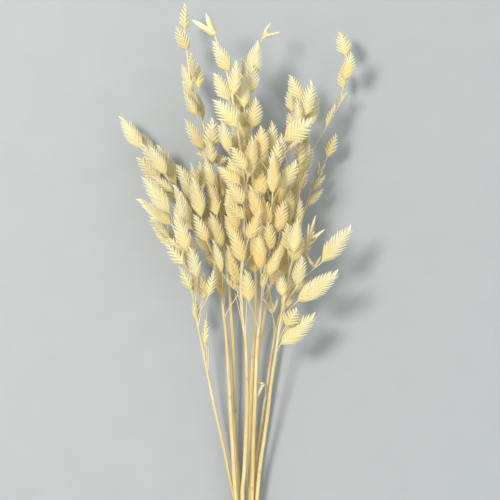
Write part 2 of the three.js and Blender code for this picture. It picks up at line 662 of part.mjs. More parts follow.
function stemMesh(stem) {
  const end = stem.line[stem.line.length - 1];
  const ahead = stem.endSprig
    ? place(...sprigRow([0, 0, stem.endSprig]).slice(2, 4), end.z).sub(end).normalize()
    : stem.pieces[0].along;
  const line = [...stem.line, end.clone().addScaledVector(ahead, SUNK)];
  const radii = line.map((_, i) => stemRadius(stem, i / (line.length - 1)));
  const solids = [toManifold(taperedTube(line, radii, CULM_SIDES))];
  if (stem.endSprig) solids.push(...sprig(end, stem.endSprig, 0, stem.endFlatness));
  stem.pieces.forEach((p) => {
    if (p.tips) {
      const inside = [...p.line, p.base.clone().addScaledVector(p.along, SUNK)];
      solids.push(toManifold(taperedTube(inside, inside.map(() => PEDICEL_RADIUS), PEDICEL_SIDES)));
      solids.push(...sprig(p.base, p.tips, p.along.z * p.length));
    } else {
      solids.push(toManifold(spikeletGeometry(p)));
    }
  });
  const material = new THREE.MeshStandardMaterial({
    name: 'bleached straw', color: 0xd9c08a, roughness: 0.72, metalness: 0, flatShading: true,
  });
  const mesh = new THREE.Mesh(fromManifold(solids.reduce((a, b) => a.add(b))), material);
  mesh.name = stem.name;
  return mesh;
}

// Raffia tie: turns of one flat strand side by side, on the hull of the bound culms
const TIE_TURNS = 3;
const CORNER_STEPS = 2;
const STRAND_EDGE = 0.25; // by which the edge of a strand is rolled in
const GROOVE = 0.55; // share of the strand's thickness that is left between two turns
const OUTER_SEATS = [[1.5, 0], [1, 1], [-1, 1], [-1.5, 0], [-1, -1], [1, -1]];

// Profile across the turns as [distance along the bundle, share of the strand's thickness]
function tieProfile() {
  const width = TIE_TURNS * STRAND_WIDTH;
  const profile = [[-width / 2, 0]];
  for (let k = 1; k <= TIE_TURNS; k += 1) {
    const right = k * STRAND_WIDTH - width / 2;
    profile.push([right - STRAND_WIDTH + STRAND_EDGE, 1], [right - STRAND_EDGE, 1]);
    profile.push([right, k < TIE_TURNS ? GROOVE : 0]);
  }
  return profile;
}

// Directions out of the bundle, each with the centre of the culm that the raffia turns round there
function tieCorners() {
  const seats = OUTER_SEATS.map(([x, row]) => new THREE.Vector2(x * STEM_PITCH, row * ROW_HEIGHT));
  return seats.flatMap((seat, i) => {
    const before = seat.clone().sub(seats[(i + 5) % 6]).angle();
    const after = seats[(i + 1) % 6].clone().sub(seat).angle();
    const turn = (after - before + 2 * Math.PI) % (2 * Math.PI);
    return Array.from({ length: CORNER_STEPS + 1 }, (_, k) => (
      { seat, angle: before - Math.PI / 2 + turn * k / CORNER_STEPS }));
  });
}

function tieMesh() {
  const profile = tieProfile();
  const corners = tieCorners();
  const points = corners.flatMap(({ seat, angle }) => profile.map(([y, share]) => {
    const reach = CULM_RADIUS + TIE_CLEARANCE + share * STRAND_THICKNESS;
    const across = new THREE.Vector3(Math.cos(angle), 0, Math.sin(angle)).multiplyScalar(reach);
    return across.add(new THREE.Vector3(seat.x, y, seat.y)).add(TIE_CENTRE);
  }));
  const count = profile.length;
  const faces = corners.flatMap((_, i) => (
    bandFaces(i * count, ((i + 1) % corners.length) * count, count)));
  const material = new THREE.MeshStandardMaterial({
    name: 'raffia', color: 0xb99a66, roughness: 0.85, metalness: 0, flatShading: true,
  });
  const mesh = new THREE.Mesh(fromManifold(toManifold(closedMesh(points, faces))), material);
  mesh.name = 'bunch_tie';
  return mesh;
}

planBunch();
const pieces = new THREE.Group();
pieces.add(...STEMS.map(stemMesh), tieMesh());

// The origin lies under the middle of the bunch, on the surface
const box = new THREE.Box3().setFromObject(pieces);
const middle = box.getCenter(new THREE.Vector3());
pieces.position.set(-middle.x, -middle.y, -box.min.z);

const bunch = new THREE.Group();
bunch.add(pieces);

export default bunch;
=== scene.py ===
"""Dried northern sea oats: ten stems with flat, saw-edged spikelets, bound by a raffia tie and laid
on a pale floor. +Y runs from the cut ends to the heads. The plan is in millimetres, the scene in
metres."""

import math
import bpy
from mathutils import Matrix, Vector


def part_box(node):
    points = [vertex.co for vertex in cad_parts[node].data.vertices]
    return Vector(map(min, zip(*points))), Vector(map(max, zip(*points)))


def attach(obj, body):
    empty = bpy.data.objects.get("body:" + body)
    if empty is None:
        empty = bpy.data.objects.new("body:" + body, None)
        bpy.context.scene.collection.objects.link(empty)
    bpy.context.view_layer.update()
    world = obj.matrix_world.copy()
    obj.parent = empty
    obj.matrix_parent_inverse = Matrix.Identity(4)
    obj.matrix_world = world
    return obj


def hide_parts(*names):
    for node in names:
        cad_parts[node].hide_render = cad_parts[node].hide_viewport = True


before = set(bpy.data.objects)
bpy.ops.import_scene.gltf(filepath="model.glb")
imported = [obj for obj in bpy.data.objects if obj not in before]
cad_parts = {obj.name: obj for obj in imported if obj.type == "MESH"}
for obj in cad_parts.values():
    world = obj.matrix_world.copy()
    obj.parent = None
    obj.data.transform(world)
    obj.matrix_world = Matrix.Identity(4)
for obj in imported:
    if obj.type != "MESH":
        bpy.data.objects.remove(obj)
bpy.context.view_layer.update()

from types import SimpleNamespace

import bpy
import numpy as np
from mathutils import Vector
from numpy.linalg import norm

MM = 0.001

# Driving dimensions, millimetres
CULM_RADIUS = 1.65
STEM_PITCH = 4.0
RACHIS_TIP_RADIUS = 0.45
PEDICEL_RADIUS = 0.42
RIB_HEIGHT = 1.3
STRAND_WIDTH = 2.4
STRAND_THICKNESS = 1.4
TIE_CLEARANCE = 0.35
CLEARANCE = 0.45
FLOOR_GAP = 0.3
BUNCH_HEIGHT = 78.0

# The bunch is read in photograph pixels and laid out at real size
MM_PER_PIXEL = 0.7
PHOTO_CENTRE = 250
VIEW_HEIGHT = 1800.0
MEAN_HEIGHT = 35.0
TIE_PIXEL = (246, 545)
END_PIXEL_Y = 728
END_UNEVENNESS = 9
UP = np.array([0.0, 0.0, 1.0])


def place(x, y, z):
    """A point seen at pixel (x, y) that lies z above the surface."""
    scale = MM_PER_PIXEL * (VIEW_HEIGHT - z) / (VIEW_HEIGHT - MEAN_HEIGHT)
    return np.array([(x - PHOTO_CENTRE) * scale, (PHOTO_CENTRE - y) * scale, z])


def draw(k):
    """Repeatable draw between 0 and 1 for item k."""
    s = math.sin(k * 12.9898 + 4.137) * 43758.5453
    return s - math.floor(s)


def sway(k, half):
    """Repeatable draw between -half and half for item k."""
    return (2 * draw(k) - 1) * half


def unit(v):
    return v / norm(v)


# Each stem: the row and the seat where it is bound; its radius; its route above the tie as (pixel x,
# pixel y, height); its spikelets as (base x, base y, tip x, tip y, width) in pixels, the one at the
# stem's end first unless a sprig ends it; its sprigs as (base x, base y, (x, y) of each floret's tip);
# and the larger (extra) and smaller (fill) spikelets that stand round its rachis between two points of
# its route, as (how many, first point, last point, turn).
STEMS = [dict(
    name="stem_left_low", row=0, seat=-1.5, radius=1.3,
    route=[[234, 497, 7.5], [229, 473, 9], [222, 440, 12], [214, 405, 16], [203, 350, 24],
        [197, 320, 29], [192, 290, 33], [186, 262, 36], [178, 240, 38], [172, 225, 39]],
    spikelets=[
        [172, 225, 137, 198, 12], [170, 213, 142, 175, 15], [170, 238, 149.5, 219.5, 9],
        [185, 255, 167, 237, 12], [185, 265, 166, 243, 13], [191, 291, 180, 266, 10],
        [197, 278, 190, 245, 12], [203, 300, 205, 272, 12], [208, 296, 214, 270, 10],
        [197, 321, 195, 295, 8], [205, 345, 206, 319, 6], [187, 252, 176, 213, 14],
    ],
    extra=(3, 6.3, 9, 0), fill=(2, 5, 8.6, 0),
), dict(
    name="stem_left_far", row=1, seat=-1, radius=1.65,
    route=[[236, 497, 12.5], [233.5, 460, 14], [230, 400, 16], [226.5, 340, 18], [222, 300, 19],
        [217, 265, 18], [205, 235, 17], [188, 208, 16], [170, 182, 14], [158, 168, 13]],
    spikelets=[
        [158, 168, 140, 131, 14], [142, 149, 120, 115, 14], [160, 180, 137, 156, 15],
        [176, 185, 158, 143, 14], [185, 200, 152, 182, 12], [192, 190, 176, 163, 12],
        [197, 187, 191, 162, 8], [203, 190, 200, 161, 10], [200, 230, 172, 205, 15],
        [217, 263, 201, 254, 5], [229, 247, 214, 220, 14], [238, 291, 223, 274, 6],
        [197, 211, 182, 172, 15], [210, 228, 196, 192, 14], [224, 298, 214, 260, 8],
        [222, 272, 213, 239, 9], [192, 226, 174, 184, 13],
    ],
    extra=(6, 5, 9, 0), fill=(5, 4.4, 9, 0),
), dict(
    name="stem_left_tall", row=-1, seat=-1, radius=1.5,
    route=[[238.5, 480, 4.5], [235.5, 440, 6], [234.5, 390, 9], [233, 340, 13], [230, 300, 17],
        [226, 260, 21], [220, 210, 26], [209, 150, 30], [201, 115, 32], [192, 90, 33],
        [188, 62, 34], [184.5, 31, 34]],
    spikelets=[
        [184.5, 31, 185.5, 3, 10], [187.5, 50, 176.5, 25, 12], [193, 78, 190.5, 52, 7],
        [192, 92, 182, 63, 9], [198.5, 88, 198.5, 63, 10], [199, 112, 182.5, 81, 10],
        [197, 116, 184, 90, 9], [203, 118, 196, 92, 8], [204, 150, 185, 118, 12],
        [211, 150, 213, 117, 15], [209, 157, 195, 153, 7], [213, 160, 229, 158, 9],
        [217, 216, 208, 180, 13], [221, 248, 211, 211, 14], [213, 186, 205, 156, 10],
        [211, 166, 205, 127, 11],
    ],
    extra=(2, 5, 6.6, 0), fill=(3, 4.6, 7.2, 0),
), dict(
    name="stem_centre_left", row=1, seat=0, radius=1.55,
    route=[[242.5, 497, 14], [245, 460, 18], [247, 400, 26], [246, 345, 34], [243, 320, 38],
        [241, 290, 43], [243, 250, 49], [245, 200, 56], [242, 160, 60], [237, 127, 62],
        [231, 90, 63], [223, 60, 62], [215, 36, 61]],
    end_sprig=[[192, 20], [206, 13]],
    end_flatness=1.7,
    spikelets=[
        [229, 71, 213, 40, 14], [233, 95, 237, 59, 11], [229, 101, 215, 72, 15],
        [237, 127, 214, 98, 18], [228.5, 152, 222, 120, 11], [242, 152, 233, 126, 13],
        [246, 170, 232, 146, 13], [240, 184, 218, 166, 14], [243, 204, 227, 180, 14],
        [245, 218, 224, 203, 12], [243, 262, 232, 226, 14], [240, 243, 225, 214, 13],
    ],
    extra=(7, 5, 9, 0), fill=(5, 4.6, 10, 0),
), dict(
    name="stem_centre", row=0, seat=-0.5, radius=1.6,
    route=[[249, 497, 7.5], [250.5, 440, 10], [251, 400, 13], [253.5, 350, 18], [255.5, 300, 24],
        [256, 240, 31], [253, 180, 37], [250, 130, 41], [251, 95, 43], [256, 62, 44],
        [262, 38, 44]],
    end_sprig=[[271, 22.5], [281, 32]],
    spikelets=[
        [250, 82, 259, 40, 15], [251, 93, 252, 62, 15], [243, 128, 246, 92, 12],
        [252, 128, 257, 97, 16], [244, 108, 242, 72, 13], [252, 231, 248, 196, 13],
        [255, 273, 250, 238, 13], [248, 90, 243, 57, 12], [252, 160, 246, 124, 14],
    ],
    extra=(6, 5, 7.2, 0), fill=(3, 4.6, 6.64, 0),
), dict(
    name="stem_centre_full", row=1, seat=1, radius=1.6,
    route=[[252, 497, 12.5], [253.5, 440, 17], [255, 400, 21], [257, 350, 28], [260, 315, 34],
        [263, 285, 39], [268, 245, 46], [272, 205, 52], [273, 175, 55], [272, 155, 56]],
    spikelets=[
        [272, 155, 273, 120, 12], [260, 158, 262, 125, 15], [281, 162, 282, 132, 10],
        [273, 172, 279, 140, 13], [284, 153, 300, 140, 5], [280, 188, 298, 160, 15],
        [274, 262, 284, 238, 11], [268, 266, 268, 248, 7], [262, 288, 266, 268, 7],
        [249, 302, 246, 268, 13], [262, 196, 256, 164, 15], [268, 226, 256, 192, 16],
        [276, 232, 284, 200, 15], [258, 250, 250, 216, 15], [270, 250, 268, 220, 13],
        [267, 191, 266, 154, 13],
    ],
    extra=(8, 4.8, 8, 0), fill=(5, 4.9, 8.4, 0),
), dict(
    name="stem_right_cluster", row=-1, seat=0, radius=1.4,
    route=[[252, 497, 4], [254.5, 450, 5], [255.5, 400, 8], [258.5, 355, 12], [265.5, 310, 17],
        [274, 270, 21], [281, 230, 25], [288, 195, 28], [296, 165, 31], [300, 145, 32],
        [301, 128, 33], [301, 112, 33]],
    spikelets=[
        [301, 112, 304, 88, 8], [301, 100, 290, 74, 13], [292, 112, 290, 86, 11],
        [303, 117, 313, 80, 15], [307, 128, 318, 95, 11], [297, 140, 289, 112, 14],
        [285, 141, 313, 119, 20], [303, 165, 307, 128, 9], [300, 164, 300, 140, 11],
        [299, 190, 307, 169, 9], [286, 224, 291, 189, 12], [299, 130, 297, 97, 10],
        [293, 208, 296, 173, 11],
    ],
    extra=(3, 5, 8, 0), fill=(2, 7, 10, 0),
), dict(
    name="stem_right_thin", row=0, seat=0.5, radius=0.95,
    route=[[254.5, 497, 7.2], [257, 455, 8], [261.5, 420, 9.5], [267, 385, 11], [273, 345, 13],
        [280, 310, 15], [288, 270, 16], [296, 220, 17], [303, 172, 17], [313, 150, 17],
        [325, 128, 17], [338, 106, 17], [343, 89, 17]],
    spikelets=[
        [343, 89, 342, 68, 10], [345, 80, 352, 51, 13], [346, 56, 340, 31, 14],
        [340, 103, 347, 92, 4], [339.5, 105, 339, 95, 4], [326, 127, 336, 104, 5],
    ],
    sprigs=[
        [272, 313, [[262, 297], [268, 283], [278, 298]]],
        [264, 384, [[255, 383], [257, 398]]],
    ],
), dict(
    name="stem_right_small", row=-1, seat=1, radius=1.2,
    route=[[256.5, 497, 4], [261, 455, 5], [266, 420, 6], [271, 385, 7], [277, 345, 8],
        [284, 300, 9.5], [291, 265, 10], [298, 238, 10], [303, 215, 10], [310, 192, 10],
        [315, 183, 10], [319, 177, 10]],
    end_sprig=[[318.5, 160], [325.5, 163]],
    spikelets=[
        [327, 157, 337, 133, 11], [312, 190, 326, 175, 7], [308, 206, 324, 188, 7],
        [296, 218, 302, 200, 5],
    ],
    extra=(1, 6, 9, 0),
), dict(
    name="stem_right_drooping", row=0, seat=1.5, radius=1.65,
    route=[[257, 497, 10.2], [261, 460, 13], [267, 420, 18], [271, 385, 24], [277, 345, 30],
        [281.5, 315, 35], [286, 290, 38], [291, 265, 41], [295, 240, 43], [297, 226, 43]],
    spikelets=[
        [297, 226, 300, 196, 10], [322, 262, 353, 226, 18], [298, 301, 340, 270.5, 18],
        [281, 344, 317, 313.5, 18], [289, 294, 311, 279, 7], [286, 326, 298, 308, 15],
        [293, 262, 300, 228, 14], [288, 250, 288, 222, 13], [297, 285, 303, 255, 13],
        [285, 310, 292, 276, 12],
    ],
    sprigs=[
        [309, 240, [[309, 223], [316, 215], [325, 229]]],
        [306, 248, [[301, 239], [320, 233]]],
        [313, 268, [[306, 254], [321, 256]]],
    ],
    extra=(3, 6, 9, 1.7), fill=(2, 5, 8, 0),
)]


# How the panicles grow
FULLNESS = 1.2
RIPE_SHAPE = 0.36
FIRST_LIFT = 4
LIFT_SPREAD = 9
NOD = 0.42
END_NOD = 0.13
ROLL = 0.25
PEDICEL_DROP = 4
PEDICEL_SLANT = 1.1
LONGEST_DROP = 32
PEDICEL_EASE = 0.4
PLAN_PEDICEL_STEPS = 2
TRIES = 56
TRY_STEP = 1.1
GOLDEN_ANGLE = math.pi * (3 - math.sqrt(5))
EXTRA = SimpleNamespace(
    index=40, out=5, out_spread=6, length=34, length_spread=10, shape=0.28, shape_spread=0.08)
FILL = SimpleNamespace(
    index=60, out=2, out_spread=4, length=27, length_spread=8, shape=0.34, shape_spread=0.08)
EXTRA_SPLAY = 0.35
EXTRA_FOLLOW = 0.8
SPRIG_INDEX = 30
STEM_KEYS = 131  # keys of draws kept for each stem
SPIKELET_KEYS = 17

# Three rows of culms are bound: the tie lies on the surface and the rows lie in it
ROW_HEIGHT = STEM_PITCH * math.sqrt(3) / 2
MIDDLE_ROW = STRAND_THICKNESS + TIE_CLEARANCE + CULM_RADIUS + ROW_HEIGHT
TIE_CENTRE = place(*TIE_PIXEL, MIDDLE_ROW)
BOUND_HALF_LENGTH = 6
HALFWAY_SPREAD = 1.35
END_SPREAD = 2.1
END_SAG = 1.2
PLAN_ROUTE_STEPS = 2
TAPER_POWER = 2.4


def slab(start, end, side, normal, half_width, half_height):
    """Box on three axes, used to keep the stems of the bunch out of one another."""
    along = end - start
    half = norm(along) / 2
    sizes = np.array([half, half_width, half_height])
    axes = np.array([unit(along), side, normal])
    return SimpleNamespace(centre=(start + end) / 2, axes=axes, half=sizes, reach=norm(sizes))


def rod(start, end, radius):
    along = unit(end - start)
    side = unit(np.cross(UP, along))
    return slab(start, end, side, np.cross(along, side), radius, radius)


PARALLEL = 0.05  # below this cross product two axes count as parallel


def slab_meets(a, group, gap):
    """True if the box comes within the gap of one of a group of boxes."""
    apart = group.centre - a.centre
    near = norm(apart, axis=1) <= group.reach + a.reach + gap
    if not near.any():
        return False
    apart, axes_b, half_b = apart[near], group.axes[near], group.half[near]
    n = len(apart)
    cross = np.cross(a.axes[None, :, None, :], axes_b[:, None, :, :]).reshape(n, 9, 3)
    length = norm(cross, axis=2)
    cross = cross / np.maximum(length, PARALLEL)[..., None]
    axes = np.concatenate([np.broadcast_to(a.axes, (n, 3, 3)), axes_b, cross], axis=1)
    span_a = (np.abs(axes @ a.axes.T) * a.half).sum(2)
    span_b = (np.abs(axes @ axes_b.transpose(0, 2, 1)) * half_b[:, None, :]).sum(2)
    meets = np.abs((axes * apart[:, None, :]).sum(2)) < span_a + span_b + gap
    meets[:, 6:] |= length <= PARALLEL
    return bool(meets.all(axis=1).any())


def catmull_rom(points, steps):
    """Smooth line through the points, with this many samples for each span."""
    points = [2 * points[0] - points[1], *points, 2 * points[-1] - points[-2]]
    line = []
    for p0, p1, p2, p3 in zip(points, points[1:], points[2:], points[3:]):
        for t in np.arange(steps) / steps:
            a, b = (p2 - p0) / 2, (p3 - p1) / 2
            c2, c3 = 3 * (p2 - p1) - 2 * a - b, 2 * (p1 - p2) + a + b
            line.append(p1 + t * (a + t * (c2 + t * c3)))
    return line + [points[-2]]


def stem_points(stem):
    """The points that a culm and its rachis run through, from the cut end to the tip."""
    z = MIDDLE_ROW + stem.row * ROW_HEIGHT
    x = stem.seat * STEM_PITCH
    end = place(TIE_PIXEL[0], END_PIXEL_Y - END_UNEVENNESS * draw(stem.key), MIDDLE_ROW)
    return [
        np.array([end[0] + x * END_SPREAD, end[1], z - END_SAG]),
        np.array([end[0] + x * HALFWAY_SPREAD, (TIE_CENTRE[1] + end[1]) / 2, z]),
        np.array([TIE_CENTRE[0] + x, TIE_CENTRE[1] - BOUND_HALF_LENGTH, z]),
        np.array([TIE_CENTRE[0] + x, TIE_CENTRE[1] + BOUND_HALF_LENGTH, z]),
        *[place(*point) for point in stem.route],
    ]


def stem_radius(stem, share):
    return RACHIS_TIP_RADIUS + (stem.radius - RACHIS_TIP_RADIUS) * (1 - share**TAPER_POWER)


def lay(base, tip, width, roll):
    """Where a spikelet lies: its base, its three axes, its length and half its width."""
    length = norm(tip - base)
    along = (tip - base) / length
    level = unit(np.cross(UP, along))
    up = np.cross(along, level)
    side = level * math.cos(roll) + up * math.sin(roll)
    normal = np.cross(along, side)
    return SimpleNamespace(base=base, along=along, side=side, normal=normal, length=length, half=width / 2)


# Boxes in place of a spikelet: where each starts and ends along it, and its share of the width
OUTLINE_SLABS = ((0.02, 0.2, 0.7), (0.2, 0.72, 1.0), (0.72, 1.0, 0.62))
FULLEST = 0.45  # share of the length


def spikelet_slabs(p):
    return [
        slab(p.base + p.along * p.length * a, p.base + p.along * p.length * b, p.side, p.normal,
             p.half * size, RIB_HEIGHT * size)
        for a, b, size in OUTLINE_SLABS
    ]


def lowest_point(p):
    edge = abs(p.side[2]) * p.half + abs(p.normal[2]) * RIB_HEIGHT
    middle = p.base[2] + p.along[2] * p.length * FULLEST - edge
    return min(middle, p.base[2] - PEDICEL_RADIUS, p.base[2] + p.along[2] * p.length)


def nearest_across(line, y):
    return min(line, key=lambda q: abs(q[1] - y))


def bezier(points, steps):
    a, b, c, d = points
    return [
        (1 - t) ** 3 * a + 3 * (1 - t) ** 2 * t * b + 3 * (1 - t) * t**2 * c + t**3 * d
        for t in np.arange(steps + 1) / steps
    ]


def pedicel_bend(line, p):
    """Handles of a pedicel: it leaves along the rachis and arrives along its spikelet."""
    near = nearest_across(line, p.base[1])
    drop = PEDICEL_DROP + PEDICEL_SLANT * math.hypot(near[0] - p.base[0], near[2] - p.base[2])
    foot_y = p.base[1] - min(drop, LONGEST_DROP)
    k = len(line) - 1
    while k > 1 and line[k - 1][1] > foot_y:
        k -= 1
    low, high = line[k - 1], line[k]
    share = min(1.0, max(0.0, (foot_y - low[1]) / (high[1] - low[1])))
    foot = low + (high - low) * share
    ease = norm(foot - p.base) * PEDICEL_EASE
    return foot, foot + unit(high - low) * ease, p.base - p.along * ease, p.base


OWN_GAP = 0.1  # between two spikelets of one stem
taken = []
groups = {}


def take(boxes, owner, is_stem):
    taken.extend((box, owner, is_stem) for box in boxes)
    groups.clear()


def group_of(owner, own):
    """The boxes that a new spikelet keeps clear of, stacked: its own stem's spikelets, or the rest."""
    if (owner, own) not in groups:
        if own:
            boxes = [box for box, who, is_stem in taken if who == owner and not is_stem]
        else:
            boxes = [box for box, who, is_stem in taken if who != owner]
        groups[owner, own] = SimpleNamespace(
            centre=np.array([b.centre for b in boxes]).reshape(-1, 3),
            axes=np.array([b.axes for b in boxes]).reshape(-1, 3, 3),
            half=np.array([b.half for b in boxes]).reshape(-1, 3),
            reach=np.array([b.reach for b in boxes]),
        )
    return groups[owner, own]


def is_free(blade, pedicel, owner):
    if any(slab_meets(box, group_of(owner, False), CLEARANCE) for box in blade + pedicel):
        return False
    return not any(slab_meets(box, group_of(owner, True), OWN_GAP) for box in blade)


def settle(stem, index, row, lift, at_end):
    """Settles a spikelet at the first height, nod and roll at which it and its pedicel are free.
    One at the end of its rachis keeps its height. Where the bunch is too full, none grows."""
    base_x, base_y, tip_x, tip_y, width_read = row
    key = SPIKELET_KEYS * index + STEM_KEYS * stem.key
    reach = math.hypot(tip_x - base_x, tip_y - base_y) * MM_PER_PIXEL
    seen = width_read * MM_PER_PIXEL * FULLNESS
    end = stem.line[-1]
    rachis_z = nearest_across(stem.line, place(0, base_y, MEAN_HEIGHT)[1])[2]
    turned = 1 if draw(key) > 0.5 else -1
    for n in range(TRIES):
        shift = (1 if n % 2 else -1) * math.ceil(n / 2) * TRY_STEP
        nod = sway(key + 1 + n, END_NOD if at_end else NOD)
        base = place(base_x, base_y, end[2] if at_end else rachis_z + lift + shift)
        tip = place(tip_x, tip_y, base[2] + math.tan(nod) * reach)
        width = max(seen, RIPE_SHAPE * norm(tip - base))
        roll = turned * math.acos(min(1, seen / width)) + sway(key + 3 + n, ROLL)
        p = lay(base, tip, width, roll)
        blade = spikelet_slabs(p)
        p.bend = None if at_end else pedicel_bend(stem.line, p)
        line = [] if at_end else bezier(p.bend, PLAN_PEDICEL_STEPS)
        pedicel = [rod(a, b, PEDICEL_RADIUS) for a, b in zip(line, line[1:])]
        inside = lowest_point(p) > FLOOR_GAP and max(base[2], tip[2]) < BUNCH_HEIGHT
        if inside and is_free(blade, pedicel, stem.name):
            take(blade + pedicel, stem.name, False)
            p.key, p.tips = key, None
            return [p]
    return []


def sprig_row(base_x, base_y, tips):
    """A sprig fills the room of one flat spikelet, from its base to the middle of its tips."""
    xs, ys = [x for x, _ in tips], [y for _, y in tips]
    spread = math.hypot(max(xs) - min(xs), max(ys) - min(ys))
    return base_x, base_y, sum(xs) / len(xs), sum(ys) / len(ys), spread


def extra_row(stem, group, kind, k):
    """A spikelet of the fuller part of the panicle, a golden angle on round the rachis."""
    count, first, last, turn = group
    span = first + (last - first) * (k + 0.5) / count
    i = math.floor(span)
    (ax, ay, _), (bx, by, _) = stem.route[i], stem.route[i + 1]
    angle = k * GOLDEN_ANGLE + stem.key + turn
    seed = k + kind.index - EXTRA.index
    out = kind.out + kind.out_spread * draw(11 * stem.key + seed)
    base_x = ax + (bx - ax) * (span - i) + math.cos(angle) * out
    base_y = ay + (by - ay) * (span - i)
    length = kind.length + kind.length_spread * draw(23 * stem.key + seed)
    lean = math.cos(angle) * EXTRA_SPLAY + (bx - ax) / (ay - by) * EXTRA_FOLLOW
    width = length * (kind.shape + kind.shape_spread * draw(29 * stem.key + seed))
    tip = (base_x + math.sin(lean) * length, base_y - math.cos(lean) * length)
    return (base_x, base_y, *tip, width), math.sin(angle) * out


NO_GROUP = (0, 0, 0, 0)
PLAIN_STEM = dict(end_sprig=None, end_flatness=1, sprigs=[], extra=NO_GROUP, fill=NO_GROUP)


def plan_bunch():
    """Culms first, then the ends of the stems, what the photograph shows, and the rest."""
    stems = [SimpleNamespace(**{**PLAIN_STEM, **s}) for s in STEMS]
    for key, stem in enumerate(stems, 1):
        stem.key = key
        stem.line = catmull_rom(stem_points(stem), PLAN_ROUTE_STEPS)
        stem.pieces = []
        last = len(stem.line) - 1
        rods = [
            rod(stem.line[k], stem.line[k + 1], stem_radius(stem, k / last)) for k in range(last)
        ]
        take(rods, stem.name, True)
    for stem in stems:
        if not stem.end_sprig:
            stem.pieces += settle(stem, 0, stem.spikelets[0], 0, True)
    for stem in stems:
        for i, row in enumerate(stem.spikelets[0 if stem.end_sprig else 1:]):
            lift = FIRST_LIFT + LIFT_SPREAD * draw(i + 5 * stem.key)
            stem.pieces += settle(stem, i + 1, row, lift, False)
        for i, (x, y, tips) in enumerate(stem.sprigs):
            grown = settle(stem, SPRIG_INDEX + i, sprig_row(x, y, tips), FIRST_LIFT, False)
            for p in grown:
                p.tips = tips
            stem.pieces += grown
    for kind, group_name in ((EXTRA, "extra"), (FILL, "fill")):
        for stem in stems:
            group = getattr(stem, group_name)
            for k in range(group[0]):
                row, lift = extra_row(stem, group, kind, k)
                stem.pieces += settle(stem, kind.index + k, row, lift, False)
    return stems


# Shapes: a sheet of points, rows along and columns round, becomes a closed skin
SHARP = math.radians(50)
NOTES = ("tint", "warmth", "along", "across")
FLORET_SLOT = 0
CULM_SLOT = 1
RAFFIA_SLOT = 0


def notes_of(sheets, *values):
    """The notes that a finish reads at each point, in the order of NOTES."""
    return np.stack([np.broadcast_to(value, sheets.shape[:-1]) for value in values], axis=-1)


def add_object(name, data):
    made = bpy.data.objects.new(name, data)
    bpy.context.scene.collection.objects.link(made)
    return made


class Skin:
    """Mesh of one piece, gathered sheet by sheet, with its notes."""

    def __init__(self):
        self.points = []
        self.notes = []
        self.faces = []
        self.materials = []
        self.count = 0

    def add(self, sheets, notes, material):
        """sheets: (parts, rows, columns, 3). notes: (parts, rows, columns, 4)."""
        parts, rows, columns, _ = sheets.shape
        start = self.count + (np.arange(parts) * rows * columns)[:, None]
        row = (np.arange(rows - 1) * columns)[:, None]
        here = np.arange(columns)
        ahead = (here + 1) % columns
        quads = np.stack([row + here, row + ahead, row + columns + ahead, row + columns + here], 2)
        quads = (start[:, :, None] + quads.reshape(-1, 4)).reshape(-1, 4)
        first_cap = start + here[::-1]
        last_cap = start + (rows - 1) * columns + here
        faces = [*quads.tolist(), *first_cap.tolist(), *last_cap.tolist()]
        self.points.append(sheets.reshape(-1, 3))
        self.notes.append(notes.reshape(-1, len(NOTES)))
        self.faces.extend(faces)
        self.materials.extend([material] * len(faces))
        self.count += parts * rows * columns

    def to_object(self, name, materials):
        mesh = bpy.data.meshes.new(name)
        points = (np.concatenate(self.points) + SHIFT) * MM
        mesh.from_pydata(points.tolist(), [], self.faces)
        mesh.polygons.foreach_set("material_index", self.materials)
        mesh.polygons.foreach_set("use_smooth", [True] * len(self.faces))
        notes = np.concatenate(self.notes)
        for i, note in enumerate(NOTES):
            attribute = mesh.attributes.new(note, "FLOAT", "POINT")
            attribute.data.foreach_set("value", notes[:, i].astype(np.float32))
        for material in materials:
            mesh.materials.append(material)
        mesh.update()
        mesh.set_sharp_from_angle(angle=SHARP)
        return add_object(name, mesh)


def length_along(line):
    """Length of the line up to each of its points."""
    return np.concatenate([[0], np.cumsum(norm(np.diff(line, axis=0), axis=1))])


def tube(line, radii, sides, tint, warmth):
    """Rings round a line, and their notes."""
    line = np.array(line)
    ahead = np.vstack([line[1:] - line[:-1], line[-1:] - line[-2:-1]])
    ahead[1:-1] = line[2:] - line[:-2]
    side = np.array([1.0, 0.0, 0.0])
    angles = math.tau * np.arange(sides) / sides
    rings = []
    for q, along, radius in zip(line, ahead, radii):
        along = unit(along)
        side = unit(side - along * (side @ along))
        other = np.cross(along, side)
        rings.append(q + radius * (np.cos(angles)[:, None] * side + np.sin(angles)[:, None] * other))
    rings = np.array(rings)[None]
    warmth = np.broadcast_to(warmth, len(line))[:, None]
    return rings, notes_of(rings, tint, warmth, length_along(line)[:, None], np.arange(sides) / sides)


def draws(key, count, offset=0.0):
    """A row of repeatable draws between -1 and 1."""
    return np.array([sway(key * 0.618 + offset + i * 1.37, 1) for i in range(count)])


# Florets. Each is a folded boat that starts at the axis of its spikelet and swings out to the edge,
# where its point makes a tooth. Its flanks lie over the base of the next floret of its rank.
# Here t is the share along a floret, and across runs from its keel (0) to the edge of a flank (1).
FLORET_ROWS = 9
ROW_CROWDING = 0.85
FLANK = np.array([0.0, 0.12, 0.35, 0.6, 0.85, 1.0])
OVERLAP = 1.4
FLANK_TAPER = 0.6
BLUNTNESS = 0.004
CLOSED_POINT = 0.4  # share of a floret that narrows to its point, in a closed spikelet
OPEN_POINT = 0.55
FOLD = 0.32
SHINGLE = 0.34
SHINGLE_START = 0.35
CROWN = 0.16
NERVES = 3.5
NERVE_RELIEF = 0.03
FULL_RELIEF_WIDTH = 1.2
CURVED = 0.8
LIFT_POWER = 2.5


def column(values):
    """One value for each floret, laid out to meet its rows and columns."""
    return np.asarray(values, float)[:, None, None]


